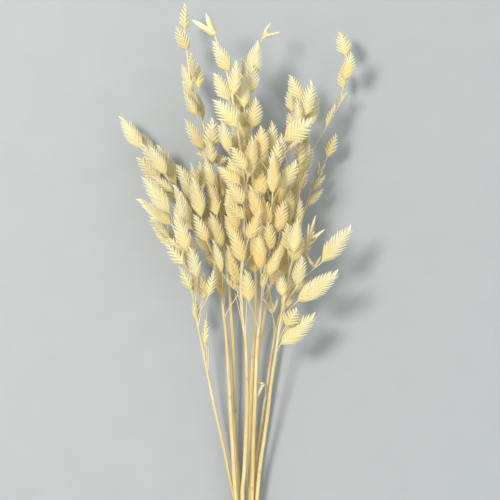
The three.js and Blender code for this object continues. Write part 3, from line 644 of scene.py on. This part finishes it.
def floret_boats(base, tip, sign, reach, bulge, least, lift, pointed, body):
    """Closed folded boats in the spikelet's own axes (along, side, normal), one for each entry.
    They are in order of growth, two to a pair, and each flank covers the gap to the next keel of
    its rank. body(x, y) is half the thickness of the spikelet there."""
    t = (np.linspace(0, 1, FLORET_ROWS) ** ROW_CROWDING)[None, :, None]
    across = np.concatenate([FLANK, FLANK[:0:-1]])[None, None, :]
    face = np.concatenate([np.ones(len(FLANK)), -np.ones(len(FLANK) - 1)])[None, None, :]
    x = column(base) + column(tip - base) * t
    keel = column(reach) * t ** column(bulge)
    later = np.minimum(np.arange(len(base)) + 2, len(base) - 1)
    there = np.clip((x - column(base[later])) / column((tip - base)[later]), 0, 1)
    inner = np.where(later > np.arange(len(base)), reach[later], 0)
    next_keel = column(inner) * there ** column(bulge[later])
    spread = OVERLAP * np.maximum(keel - next_keel, 0) + column(least) * (1 - FLANK_TAPER * t)
    spread = spread * np.minimum(1, (1 - t + BLUNTNESS) / pointed) ** CURVED
    y = keel - across * spread
    folded = 1 - np.exp(-across * spread / FOLD)
    shingled = SHINGLE * across**CURVED * (SHINGLE_START + (1 - SHINGLE_START) * t)
    crowned = CROWN * np.sin(math.pi * across)
    nerved = NERVE_RELIEF * np.sin(across * NERVES * math.tau)
    relief = (shingled + crowned + nerved) * np.minimum(1, spread / FULL_RELIEF_WIDTH)
    z = face * folded * (body(x, y) + relief) + column(lift) * t**LIFT_POWER
    points = np.stack(np.broadcast_arrays(x, column(sign) * y, z), axis=-1)
    return points, np.broadcast_to(t, z.shape), np.broadcast_to(across, z.shape)


def laid(points, base, along, side, normal):
    """Points given on three axes, laid in the bunch."""
    return base + points @ np.array([along, side, normal])


# Spikelets: florets in two ranks. Places along a spikelet are shares of its length.
WIDEST = 0.4
OUTLINE_END = 1.02
FINE_WIDTH = 0.97  # of the width that the plan gives a spikelet
BODY_HEIGHT = 0.75
BODY_EDGE = 1.1
LEAST_EDGE = 0.12
SLIM_BASE = 0.16
SLIM_HEIGHT = 0.4
PAIR_LENGTH = 2.4  # millimetres of spikelet for each pair of florets
PAIR_SPREAD = 0.8
FEWEST_PAIRS = 5
MOST_PAIRS = 12
FIRST_TIP = 0.27
TIP_CROWDING = 0.85
TIP_SWAY = 0.014
FLORET_LENGTH = 0.46
FLORET_SHORTENING = 0.12
LEAST_REACH = 0.2
OPEN_REACH = 0.25
UNEVENNESS = 0.06
LEAST_FLANK = 0.1
BEND = 1.2
ARCH = 1.0
TWIST = 0.3
TWIST_CENTRE = 0.4

# Spikelets near this middle of the bunch, in millimetres, are less bleached and more closed
INNER_X = 5
INNER_REACH = 26
INNER_LENGTH = 70
LEAST_OPEN = 0.05
OPEN_SPREAD = 0.6
INNER_CLOSING = 0.7


def outline(share):
    """Width of a spikelet, as a share of its largest."""
    share = np.clip(share, 0, 1)
    rise = np.sin(math.pi / 2 * np.minimum(1, share / WIDEST)) ** 0.8
    fall = np.cos(math.pi / 2 * np.maximum(0, share - WIDEST) / (OUTLINE_END - WIDEST)) ** 0.72
    return rise * fall


def body_height(share, aside):
    """Half the thickness of a spikelet, at a share of its length and of half its width."""
    slim = SLIM_HEIGHT + (1 - SLIM_HEIGHT) * np.sin(math.pi / 2 * np.minimum(1, share / SLIM_BASE))
    edge = BODY_EDGE * outline(share) + LEAST_EDGE
    return BODY_HEIGHT * slim * np.sqrt(np.clip(1 - (aside / edge) ** 2, 0.02, 1))


def spikelet_state(p):
    """How far inside the bunch a spikelet is, and how far its florets open, each from 0 to 1."""
    inner = math.exp(-(((p.base[0] - INNER_X) / INNER_REACH) ** 2) - (p.base[1] / INNER_LENGTH) ** 2)
    opened = (LEAST_OPEN + OPEN_SPREAD * draw(p.key + 5) ** 2) * (1 - INNER_CLOSING * inner)
    return inner, opened


def spikelet_florets(p, inner, opened):
    """The florets of a spikelet in its own axes, with their shares along and across."""
    pitch = PAIR_LENGTH + PAIR_SPREAD * draw(p.key + 31)
    count = 2 * int(np.clip(round(p.length / pitch), FEWEST_PAIRS, MOST_PAIRS))
    order = np.arange(count) / (count - 1)
    half = p.half * FINE_WIDTH
    tip = FIRST_TIP + (1 - FIRST_TIP) * order**TIP_CROWDING + TIP_SWAY * draws(p.key, count)
    tip = np.minimum(tip, 1.0)
    base = np.maximum(0, tip - FLORET_LENGTH + FLORET_SHORTENING * order)
    uneven = UNEVENNESS * (1 + opened) * draws(p.key, count, 70.0)
    return floret_boats(
        base=base * p.length,
        tip=tip * p.length,
        sign=np.where(np.arange(count) % 2, 1.0, -1.0),
        reach=half * np.maximum(outline(tip), LEAST_REACH + OPEN_REACH * opened) * (1 + uneven),
        bulge=0.5 - 0.08 * inner + 0.12 * order + 0.5 * opened,
        least=np.full(count, LEAST_FLANK * half),
        lift=(0.25 + 0.9 * opened) * draws(p.key, count, 40.0),
        pointed=CLOSED_POINT + (OPEN_POINT - CLOSED_POINT) * opened,
        body=lambda x, y: body_height(x / p.length, y / half),
    )


def bent(points, p):
    """The points of a spikelet with its bend, arch and twist, still in its own axes."""
    x, y, z = np.moveaxis(points, -1, 0)
    share = x / p.length
    bow = share**2 - share
    turn = sway(p.key + 9, TWIST) * (share - TWIST_CENTRE)
    turned_y = y * np.cos(turn) - z * np.sin(turn) + sway(p.key + 7, BEND) * bow
    turned_z = y * np.sin(turn) + z * np.cos(turn) + sway(p.key + 8, ARCH) * bow
    return np.stack([x, turned_y, turned_z], axis=-1)


def spikelet_parts(p):
    """Points and notes of all florets of a spikelet that lies as p says."""
    inner, opened = spikelet_state(p)
    points, t, across = spikelet_florets(p, inner, opened)
    points = bent(points, p)
    share = points[..., 0] / p.length
    aside = np.abs(points[..., 1]) / (p.half * FINE_WIDTH)
    tint = 0.7 * draw(p.key + 21) + 0.6 * inner + 0.15 * column(draws(p.key, len(points), 9.0))
    warmth = np.clip(0.75 - share + 0.25 * (1 - aside) + 0.8 * inner, 0, 2)
    sheets = laid(points, p.base, p.along, p.side, p.normal)
    return sheets, notes_of(sheets, tint, warmth, t, across)


# Young open spikelets: a floret to each tip, with shorter ones between and on top of them
PRONG_RISE = 1.6
PRONG_WIDTH = 4.2
PRONG_SPREAD = 0.12
PRONG_BASE = 0.45
PRONG_BULGE = 0.55
PRONG_HEIGHT = 0.5
PRONG_EDGE = 0.15
FLATNESS_POWER = 1.4
BETWEEN = 0.25
ON_TOP = 0.5


def young_floret(base, tip, width, key):
    """Slim folded floret of a young spikelet, from base to tip."""
    length = norm(tip - base)
    along = (tip - base) / length
    side = unit(np.cross(UP, along))
    turned = 1.0 if draw(key) > 0.5 else -1.0
    reach = width / 2
    points, t, across = floret_boats(
        base=np.zeros(1),
        tip=np.array([length]),
        sign=[turned],
        reach=np.array([reach]),
        bulge=np.array([PRONG_BULGE]),
        least=[PRONG_BASE],
        lift=[0.0],
        pointed=OPEN_POINT,
        body=lambda x, y: PRONG_HEIGHT * np.sin(math.pi * np.clip(x / length, 0, 1)) + PRONG_EDGE,
    )
    points[..., 1] -= turned * reach * t**2
    sheets = laid(points, base, along, side, np.cross(along, side))
    return sheets, notes_of(sheets, draw(key + 3), np.clip(0.9 - t, 0, 1), t, across)


def add_sprig(skin, base, tips, climb, key, flatness=1.0):
    ends = [
        place(x, y, base[2] + climb + PRONG_RISE * (i - (len(tips) - 1) / 2))
        for i, (x, y) in enumerate(tips)
    ]
    between = [base + (a + b - 2 * base) * BETWEEN for a, b in zip(ends, ends[1:])]
    for i, end in enumerate(ends + between):
        width = PRONG_WIDTH * flatness**FLATNESS_POWER * (1 - PRONG_SPREAD * draw(key + i))
        on_top = base + ((end - base) + UP) * ON_TOP
        skin.add(*young_floret(base, end, width, key + 31 * i), FLORET_SLOT)
        skin.add(*young_floret(base, on_top, width, key + 31 * i + 7), FLORET_SLOT)


# Culms: smooth straw with a few joints, hollow at the cut end
CULM_SIDES = 14
CULM_RIBS = 14
CULM_STEP = 1.2
ROUTE_STEPS = 8
FIRST_JOINT = 18
FIRST_JOINT_SPREAD = 50
JOINT_GAP = 95
JOINTED = 0.7  # share of a culm that has joints
JOINT_SWELL = 0.16
JOINT_HALF = 0.9
NECK_DEPTH = 0.06
NECK_AWAY = 1.6
NECK_HALF = 0.7
HOLLOW = 0.62  # of the culm's radius
HOLLOW_DEPTH = 2.0


def bell(away, half):
    """1 where away is 0, and fading on both sides."""
    return np.exp(-((away / half) ** 2))


def culm_profile(stem, line):
    """Radius at each point of a culm, with its joints, and how warm its straw is there."""
    travelled = length_along(line)
    share = travelled / travelled[-1]
    radius = stem_radius(stem, share)
    warmth = 0.75 - 0.45 * np.clip((share - 0.6) / 0.3, 0, 1) + 0.15 * np.sin(travelled / 23 + stem.key)
    joint = FIRST_JOINT + FIRST_JOINT_SPREAD * draw(stem.key + 60)
    while joint < travelled[-1] * JOINTED:
        away = travelled - joint
        swell = JOINT_SWELL * bell(away, JOINT_HALF)
        neck = NECK_DEPTH * bell(away - NECK_AWAY, NECK_HALF)
        radius = radius * (1 + swell - neck)
        warmth = warmth + 0.55 * bell(away, 1.1)
        joint += JOINT_GAP * (0.8 + 0.5 * draw(stem.key * 7 + joint))
    return radius, np.clip(warmth, 0, 1.5)


def even_line(points, step):
    """The same line with points a given length apart."""
    line = np.array(points)
    travelled = length_along(line)
    at = np.linspace(0, travelled[-1], max(2, round(travelled[-1] / step) + 1))
    return np.stack([np.interp(at, travelled, line[:, i]) for i in range(3)], axis=1)


def add_culm(skin, stem, ahead):
    """The culm and its rachis, which goes on a step ahead into what stands at its end."""
    line = even_line(catmull_rom(stem_points(stem), ROUTE_STEPS), CULM_STEP)
    line = np.vstack([line, line[-1] + ahead * CULM_STEP])
    radius, warmth = culm_profile(stem, line)
    rings, notes = tube(line, radius, CULM_SIDES, draw(stem.key + 70), warmth)
    rim = line[0] + (rings[:, :1] - line[0]) * HOLLOW
    floor = rim + unit(line[1] - line[0]) * HOLLOW_DEPTH
    inside = np.repeat(notes[:, :1], 2, axis=1)
    inside[..., NOTES.index("warmth")] = 1
    sheets = np.concatenate([floor, rim, rings], axis=1)
    skin.add(sheets, np.concatenate([inside, notes], axis=1), CULM_SLOT)


PEDICEL_STEPS = 10
PEDICEL_SIDES = 7
FOOT_HANDLE = 0.3
END_HANDLE = 0.14
PEDICEL_WAIST = 0.27
PEDICEL_FOOT = 0.25
PEDICEL_END = 0.14


def add_pedicel(skin, stem, p):
    foot, handle, _, end = p.bend
    span = norm(end - foot)
    after_foot = foot + unit(handle - foot) * span * FOOT_HANDLE
    before_end = end - p.along * span * END_HANDLE
    line = bezier((foot, after_foot, before_end, end), PEDICEL_STEPS)
    share = np.linspace(0, 1, len(line))
    radius = PEDICEL_WAIST + PEDICEL_FOOT * (1 - share) ** 6 + PEDICEL_END * share**10
    skin.add(*tube(line, radius, PEDICEL_SIDES, draw(p.key + 4), 0.15), CULM_SLOT)


# Fine bare branches beside the culms: (pixel x, pixel y, height over the stem) from the stem outwards
THREADS = {
    "stem_centre_left": [
        [(244.6, 334, 0), (242.3, 311, 1.5), (236.5, 289, 2.5), (231, 266, 2.5)],
        [(244.8, 338, 0), (243.2, 316, 2.2), (241.4, 291, 3.2), (236.5, 266, 3.5)],
        [(245.2, 342, 0), (242.2, 324, 0.6), (238.6, 308, 0.8), (235, 293, 0.6)],
        [(245.2, 342, 0), (245.9, 322, 1.8), (246.6, 304, 2.6), (246.2, 286, 2.8)],
    ],
    "stem_left_low": [
        [(206.5, 372, 0), (206.8, 355, 1.2), (205.6, 335, 1.8), (206.8, 312, 2.2)],
        [(207.5, 378, 0), (208.2, 364, 1.2), (208.4, 350, 1.6), (207.6, 338, 1.6)],
        [(198.5, 326, 0), (200.8, 310, 1.6), (201.8, 294, 2.2), (200.8, 276, 2.4)],
    ],
    "stem_right_cluster": [
        [(266.8, 304, 0), (269, 291, 2), (271.6, 279, 2.6), (272.6, 262, 2.8)],
        [(268.3, 298, 0), (271.6, 286, 2), (274.6, 275, 2.6), (275.2, 260, 2.6)],
        [(265.8, 309, 0), (267.6, 296, 2.2), (267.2, 284, 3), (265.2, 270, 3.4)],
    ],
    "stem_right_drooping": [
        [(278.6, 335, 0), (281.6, 318, 2), (287.6, 303, 2.4), (290, 292, 2.6)],
        [(276.4, 350, 0), (279.8, 331, 2), (283.4, 318, 2.4), (284.6, 304, 2.6)],
    ],
    "stem_right_thin": [
        [(271.2, 358, 0), (273.6, 341, 1.2), (274, 328, 1.4), (272.8, 316, 1.4)],
    ],
}
THREAD_RADIUS = 0.34
THREAD_SIDES = 6
THREAD_STEPS = 5


def add_threads(skin, stem):
    for k, thread in enumerate(THREADS.get(stem.name, [])):
        points = []
        for x, y, rise in thread:
            height = nearest_across(stem.line, place(0, y, MEAN_HEIGHT)[1])[2]
            points.append(place(x, y, height + rise))
        line = catmull_rom(points, THREAD_STEPS)
        share = np.linspace(0, 1, len(line))
        radius = THREAD_RADIUS * (1 + 0.6 * (1 - share) ** 8 - 0.45 * share)
        skin.add(*tube(line, radius, THREAD_SIDES, draw(k + 90), 0.1), CULM_SLOT)


def build_stem(stem, materials):
    skin = Skin()
    end = stem.line[-1]
    if stem.end_sprig:
        centre = place(*sprig_row(0, 0, stem.end_sprig)[2:4], end[2])
        ahead = unit(centre - end)
        add_sprig(skin, end, stem.end_sprig, 0, stem.key * 5, stem.end_flatness)
    else:
        ahead = stem.pieces[0].along
    add_culm(skin, stem, ahead)
    add_threads(skin, stem)
    for p in stem.pieces:
        if p.bend is not None:
            add_pedicel(skin, stem, p)
        if p.tips:
            add_sprig(skin, p.base, p.tips, p.along[2] * p.length, p.key)
        else:
            skin.add(*spikelet_parts(p), FLORET_SLOT)
    piece = skin.to_object(f"{stem.name}_fine", materials)
    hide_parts(stem.name)
    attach(piece, "root")


# Raffia tie: flat fibrous strands laid over one another round the hull of the bound culms
TIE_LANES = 3
TIE_LAYERS = 3
TIE_BENDS = 6
TIE_SPANS = 6
TIE_FIBRES = 17
FIBRES_BELOW = 4  # fibres of the upper face for each one of the lower face
LAYER_GAP = 0.04
STRAND_HALF = 0.485  # of the strand's width
LAYER_NARROWING = 0.05
WIDTH_WAVE = 0.07
LANE_WAVE = 0.16
FIBRE_SWAY = 0.09
FIBRE_WAVE = 0.05
EDGE_ROUNDING = 0.12
OUTER_SEATS = ((1.5, 0), (1, 1), (-1, 1), (-1.5, 0), (-1, -1), (1, -1))


def tie_path():
    """Spots round the bound culms, each with its direction outwards."""
    seats = [np.array([x * STEM_PITCH, row * ROW_HEIGHT]) for x, row in OUTER_SEATS]
    path = []
    for i, seat in enumerate(seats):
        behind = seat - seats[i - 1]
        ahead = seats[(i + 1) % len(seats)] - seat
        start = math.atan2(behind[1], behind[0])
        end = math.atan2(ahead[1], ahead[0])
        turn = (end - start) % math.tau
        path += [(seat, start - math.pi / 2 + turn * c / TIE_BENDS) for c in range(TIE_BENDS + 1)]
        path += [(seat + ahead * c / TIE_SPANS, end - math.pi / 2) for c in range(1, TIE_SPANS)]
    return path


def add_tie_strand(skin, path, lane, layer):
    """One strand: its lane counts along the culms from the middle one, its layer outwards."""
    key = 10 * lane + layer + 7
    depth = STRAND_THICKNESS / TIE_LAYERS
    low = CULM_RADIUS + TIE_CLEARANCE + depth * layer + LAYER_GAP / 2
    across = np.linspace(-1, 1, TIE_FIBRES)
    fibres = np.abs(FIBRE_SWAY * draws(key, TIE_FIBRES) + FIBRE_WAVE * np.cos(across * 19))
    columns = np.concatenate([across, across[::-FIBRES_BELOW]])
    below = np.full(len(columns) - TIE_FIBRES, low)
    sideways = np.array([0.0, 1.0, 0.0])
    rings = []
    for j, (seat, angle) in enumerate(path + path[:1]):
        phase = math.tau * j / len(path)
        wave = 1 + WIDTH_WAVE * math.sin(3 * phase + key)
        half = STRAND_WIDTH * (STRAND_HALF - LAYER_NARROWING * layer) * wave
        aside = lane * STRAND_WIDTH + LANE_WAVE * math.sin((1 + layer % 2) * phase + 1.7 * key)
        wear = 0.75 + 0.25 * math.sin((2 + lane) * phase + key)
        above = low + depth - LAYER_GAP - EDGE_ROUNDING * across**4 - wear * fibres
        reach = np.concatenate([above, below])
        outwards = np.array([math.cos(angle), 0.0, math.sin(angle)])
        centre = TIE_CENTRE + np.array([seat[0], aside, seat[1]])
        rings.append(centre + reach[:, None] * outwards + (half * columns)[:, None] * sideways)
    rings = np.array(rings)[None]
    along = np.linspace(0, 60, rings.shape[1])[:, None]
    skin.add(rings, notes_of(rings, draw(key + 300), 0.5, along, (columns + 1) / 2), RAFFIA_SLOT)


def build_tie(material):
    skin = Skin()
    path = tie_path()
    for lane in range(TIE_LANES):
        for layer in range(TIE_LAYERS):
            add_tie_strand(skin, path, lane - (TIE_LANES - 1) / 2, layer)
    piece = skin.to_object("bunch_tie_fine", [material])
    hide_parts("bunch_tie")
    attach(piece, "root")


# Finishes
class Nodes:
    """Shader nodes of one material, made in reading order."""

    def __init__(self, name):
        self.material = bpy.data.materials.new(name)
        self.material.use_nodes = True
        self.tree = self.material.node_tree
        self.tree.nodes.clear()

    def make(self, kind, **values):
        node = self.tree.nodes.new("ShaderNode" + kind)
        for key, value in values.items():
            if key in node.inputs:
                self.feed(node.inputs[key], value)
            else:
                setattr(node, key, value)
        return node

    def feed(self, socket, value):
        if isinstance(value, bpy.types.NodeSocket):
            self.tree.links.new(value, socket)
        else:
            socket.default_value = value

    def note(self, name):
        return self.make("Attribute", attribute_name=name).outputs["Fac"]

    def math(self, operation, *values):
        node = self.make("Math", operation=operation)
        for socket, value in zip(node.inputs, values):
            self.feed(socket, value)
        return node.outputs[0]

    def times(self, a, b):
        return self.math("MULTIPLY", a, b)

    def times_plus(self, a, b, c):
        """a times b, plus c."""
        return self.math("MULTIPLY_ADD", a, b, c)

    def mix(self, share, a, b):
        """Colour between a and b. A mix node's colour sockets are its inputs 6 and 7 and output 2."""
        node = self.make("Mix", data_type="RGBA")
        self.feed(node.inputs[0], share)
        self.feed(node.inputs[6], a)
        self.feed(node.inputs[7], b)
        return node.outputs[2]

    def spot(self, x, y, z):
        return self.make("CombineXYZ", X=x, Y=y, Z=z).outputs[0]

    def noise_at(self, vector, scale=1.0, detail=3.0):
        return self.make("TexNoise", Vector=vector, Scale=scale, Detail=detail).outputs[0]

    def noise(self, scale, detail=3.0):
        """Noise through the object's own space, with `scale` grains to a metre."""
        return self.noise_at(self.make("TexCoord").outputs["Object"], scale, detail)

    def ramp(self, value, start, end, height):
        """Rises from 0 at start to height at end, and stays within these."""
        node = self.make("MapRange", clamp=True)
        for socket, x in zip(node.inputs, (value, start, end, 0.0, height)):
            self.feed(socket, x)
        return node.outputs[0]

    def stripes(self, count):
        """Ridges along the surface: `count` of them over the surface's width."""
        wave = self.math("SINE", self.times(self.note("across"), count * math.tau))
        return self.times_plus(wave, 0.5, 0.5)


def srgb(r, g, b):
    """Linear colour from the 0 to 255 values that a screen shows."""
    level = [c / 255 for c in (r, g, b)]
    return tuple(c / 12.92 if c <= 0.04045 else ((c + 0.055) / 1.055) ** 2.4 for c in level) + (1,)


BUMP_STRENGTH = 0.6
SHINE = 0.3


def finish_surface(nodes, colour, bump, depth, roughness, translucent=0.0):
    """Surface with this colour, bumps of this depth in metres, and a share of light let through."""
    bumped = nodes.make("Bump", Height=bump, Distance=depth, Strength=BUMP_STRENGTH)
    body = nodes.make("BsdfPrincipled", Roughness=roughness, Normal=bumped.outputs[0])
    nodes.feed(body.inputs["Base Color"], colour)
    nodes.feed(body.inputs["Specular IOR Level"], SHINE)
    surface = body.outputs[0]
    if translucent:
        glow = nodes.make("BsdfTranslucent", Color=colour)
        blend = nodes.make("MixShader")
        for socket, value in zip(blend.inputs, (translucent, surface, glow.outputs[0])):
            nodes.feed(socket, value)
        surface = blend.outputs[0]
    nodes.make("OutputMaterial", Surface=surface)
    return nodes.material


def floret_finish():
    """Cream at a floret's point, straw below it, gold along its nerves, and gold as painted shade in the
    grooves where florets overlap.
    A spikelet leans to peach in the middle of the bunch and to green outside it."""
    cream = srgb(253, 251, 236)
    straw = srgb(246, 236, 182)
    gold = srgb(208, 184, 108)
    peach = srgb(252, 212, 142)
    green = srgb(236, 234, 190)
    n = Nodes("floret_straw")
    warmth, tint, along, across = (n.note(name) for name in ("warmth", "tint", "along", "across"))
    streak = n.noise_at(n.spot(n.times(along, 1.5), n.times(across, 5.0), n.times(tint, 60.0)))
    pale = n.times_plus(streak, -1.0, n.times_plus(n.noise(60.0), -1.6, 1.3))
    pale = n.math("ADD", n.math("POWER", along, 4.0), pale)
    colour = n.mix(n.ramp(n.math("SUBTRACT", warmth, pale), -0.3, 0.8, 1.0), cream, straw)
    lean = n.math("ADD", tint, n.times_plus(n.noise(30.0), 1.8, -0.9))
    core = n.math("SUBTRACT", 1.15, n.math("POWER", along, 3.0))
    core = n.times(core, n.times_plus(warmth, 0.4, 0.55))
    colour = n.mix(n.ramp(n.times(lean, core), 0.3, 1.3, 0.75), colour, peach)
    colour = n.mix(n.ramp(lean, 0.4, -0.4, 0.6), colour, green)
    # Painted shade: gold towards each floret's keel, in the groove under the floret that overlaps it,
    # fading towards its point.
    painted_shade_by_keel = n.math("POWER", n.math("SUBTRACT", 1.0, across), 1.5)
    painted_groove_shade = n.times(painted_shade_by_keel, n.math("SUBTRACT", 1.0, n.math("POWER", along, 2.0)))
    colour = n.mix(n.times(painted_groove_shade, 1.25), colour, gold)
    colour = n.mix(n.ramp(streak, 0.55, 0.8, 0.35), colour, gold)
    nerve = n.stripes(5.0)
    colour = n.mix(n.times(nerve, 0.16), colour, gold)
    return finish_surface(n, colour, nerve, 0.0001, n.times_plus(streak, 0.2, 0.5), translucent=0.3)


def culm_finish():
    """Straw with fine ribs along it: warm on a culm and at its joints, pale on the thin branches."""
    cream = srgb(231, 217, 177)
    straw = srgb(196, 171, 112)
    gold = srgb(180, 147, 87)
    n = Nodes("culm_straw")
    warmth = n.note("warmth")
    angle = n.times(n.note("across"), math.tau)
    run = n.times_plus(n.note("along"), 0.05, n.times(n.note("tint"), 40.0))
    spot = n.spot(n.times(n.math("COSINE", angle), 2.5), n.times(n.math("SINE", angle), 2.5), run)
    streak = n.noise_at(spot, 1.6, 4.0)
    colour = n.mix(n.math("ADD", warmth, n.times_plus(streak, 2.4, -1.2)), cream, straw)
    colour = n.mix(n.ramp(streak, 0.52, 0.72, 0.55), colour, gold)
    colour = n.mix(n.ramp(warmth, 1.0, 1.5, 0.8), colour, gold)
    height = n.times_plus(n.stripes(CULM_RIBS), 0.5, streak)
    return finish_surface(n, colour, height, 0.00012, n.times_plus(streak, 0.25, 0.42))


def raffia_finish():
    """Dry palm fibre: long thin light and dark fibres side by side, a little different on each strand."""
    pale = srgb(230, 204, 152)
    dark = srgb(158, 120, 70)
    n = Nodes("raffia")
    tint = n.note("tint")
    spot = n.spot(n.times(n.note("across"), 26.0), n.times(n.note("along"), 0.35), n.times(tint, 50.0))
    fibre = n.noise_at(spot)
    colour = n.mix(n.ramp(fibre, 0.35, 0.68, 1.0), pale, dark)
    colour = n.mix(n.times(tint, 0.3), colour, dark)
    return finish_surface(n, colour, fibre, 0.0002, n.times_plus(fibre, 0.2, 0.6))


def floor_finish():
    n = Nodes("studio_floor")
    grain = n.noise(40.0, 4.0)
    colour = n.mix(grain, (0.33, 0.34, 0.35, 1), (0.36, 0.37, 0.38, 1))
    return finish_surface(n, colour, grain, 0.00005, 0.8)


# Studio, in metres
FLOOR_HALF = 2.5
FLOOR_DROP = 0.0003
SKY_COLOUR = (0.93, 0.99, 0.97, 1)
SKY_STRENGTH = 0.92


def add_floor():
    h = FLOOR_HALF
    mesh = bpy.data.meshes.new("studio_floor")
    mesh.from_pydata([(-h, -h, 0), (h, -h, 0), (h, h, 0), (-h, h, 0)], [], [(0, 1, 2, 3)])
    mesh.materials.append(floor_finish())
    floor = add_object("studio_floor", mesh)
    floor.location.z = -FLOOR_DROP


def add_area_light(name, position, size, watts, colour):
    data = bpy.data.lights.new(name, "AREA")
    data.shape = "DISK"
    data.size = size
    data.energy = watts
    data.color = colour
    light = add_object(name, data)
    light.location = position
    light.rotation_euler = (-Vector(position)).to_track_quat("-Z", "Y").to_euler()


def add_studio():
    add_floor()
    add_area_light("key", position=(-0.72, 0.5, 1.6), size=0.45, watts=28, colour=(1.0, 0.985, 0.94))
    add_area_light("fill", position=(1.0, -0.5, 1.2), size=1.2, watts=3, colour=(0.96, 0.98, 1.0))
    world = bpy.data.worlds.new("studio")
    world.use_nodes = True
    background = world.node_tree.nodes["Background"]
    background.inputs["Color"].default_value = SKY_COLOUR
    background.inputs["Strength"].default_value = SKY_STRENGTH
    bpy.context.scene.world = world
    bpy.context.scene.view_settings.view_transform = "Standard"


SENSOR = 36.0
HALF_FRAME = PHOTO_CENTRE * MM_PER_PIXEL


def add_camera():
    """Straight above the middle of the photograph, at the height that the plan is read from."""
    data = bpy.data.cameras.new("camera")
    data.sensor_width = SENSOR
    data.lens = SENSOR / 2 * (VIEW_HEIGHT - MEAN_HEIGHT) / HALF_FRAME
    data.clip_start = 0.1
    data.clip_end = 10
    camera = add_object("camera", data)
    camera.location = ((np.array([0, 0, VIEW_HEIGHT]) + SHIFT) * MM).tolist()
    bpy.context.scene.camera = camera


# The plan is shifted to where the frame has the tie
tie_low, tie_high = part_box("bunch_tie")
SHIFT = np.array((tie_low + tie_high) / 2) / MM - TIE_CENTRE
straw_finishes = [floret_finish(), culm_finish()]
for stem in plan_bunch():
    build_stem(stem, straw_finishes)
build_tie(raffia_finish())
add_studio()
add_camera()
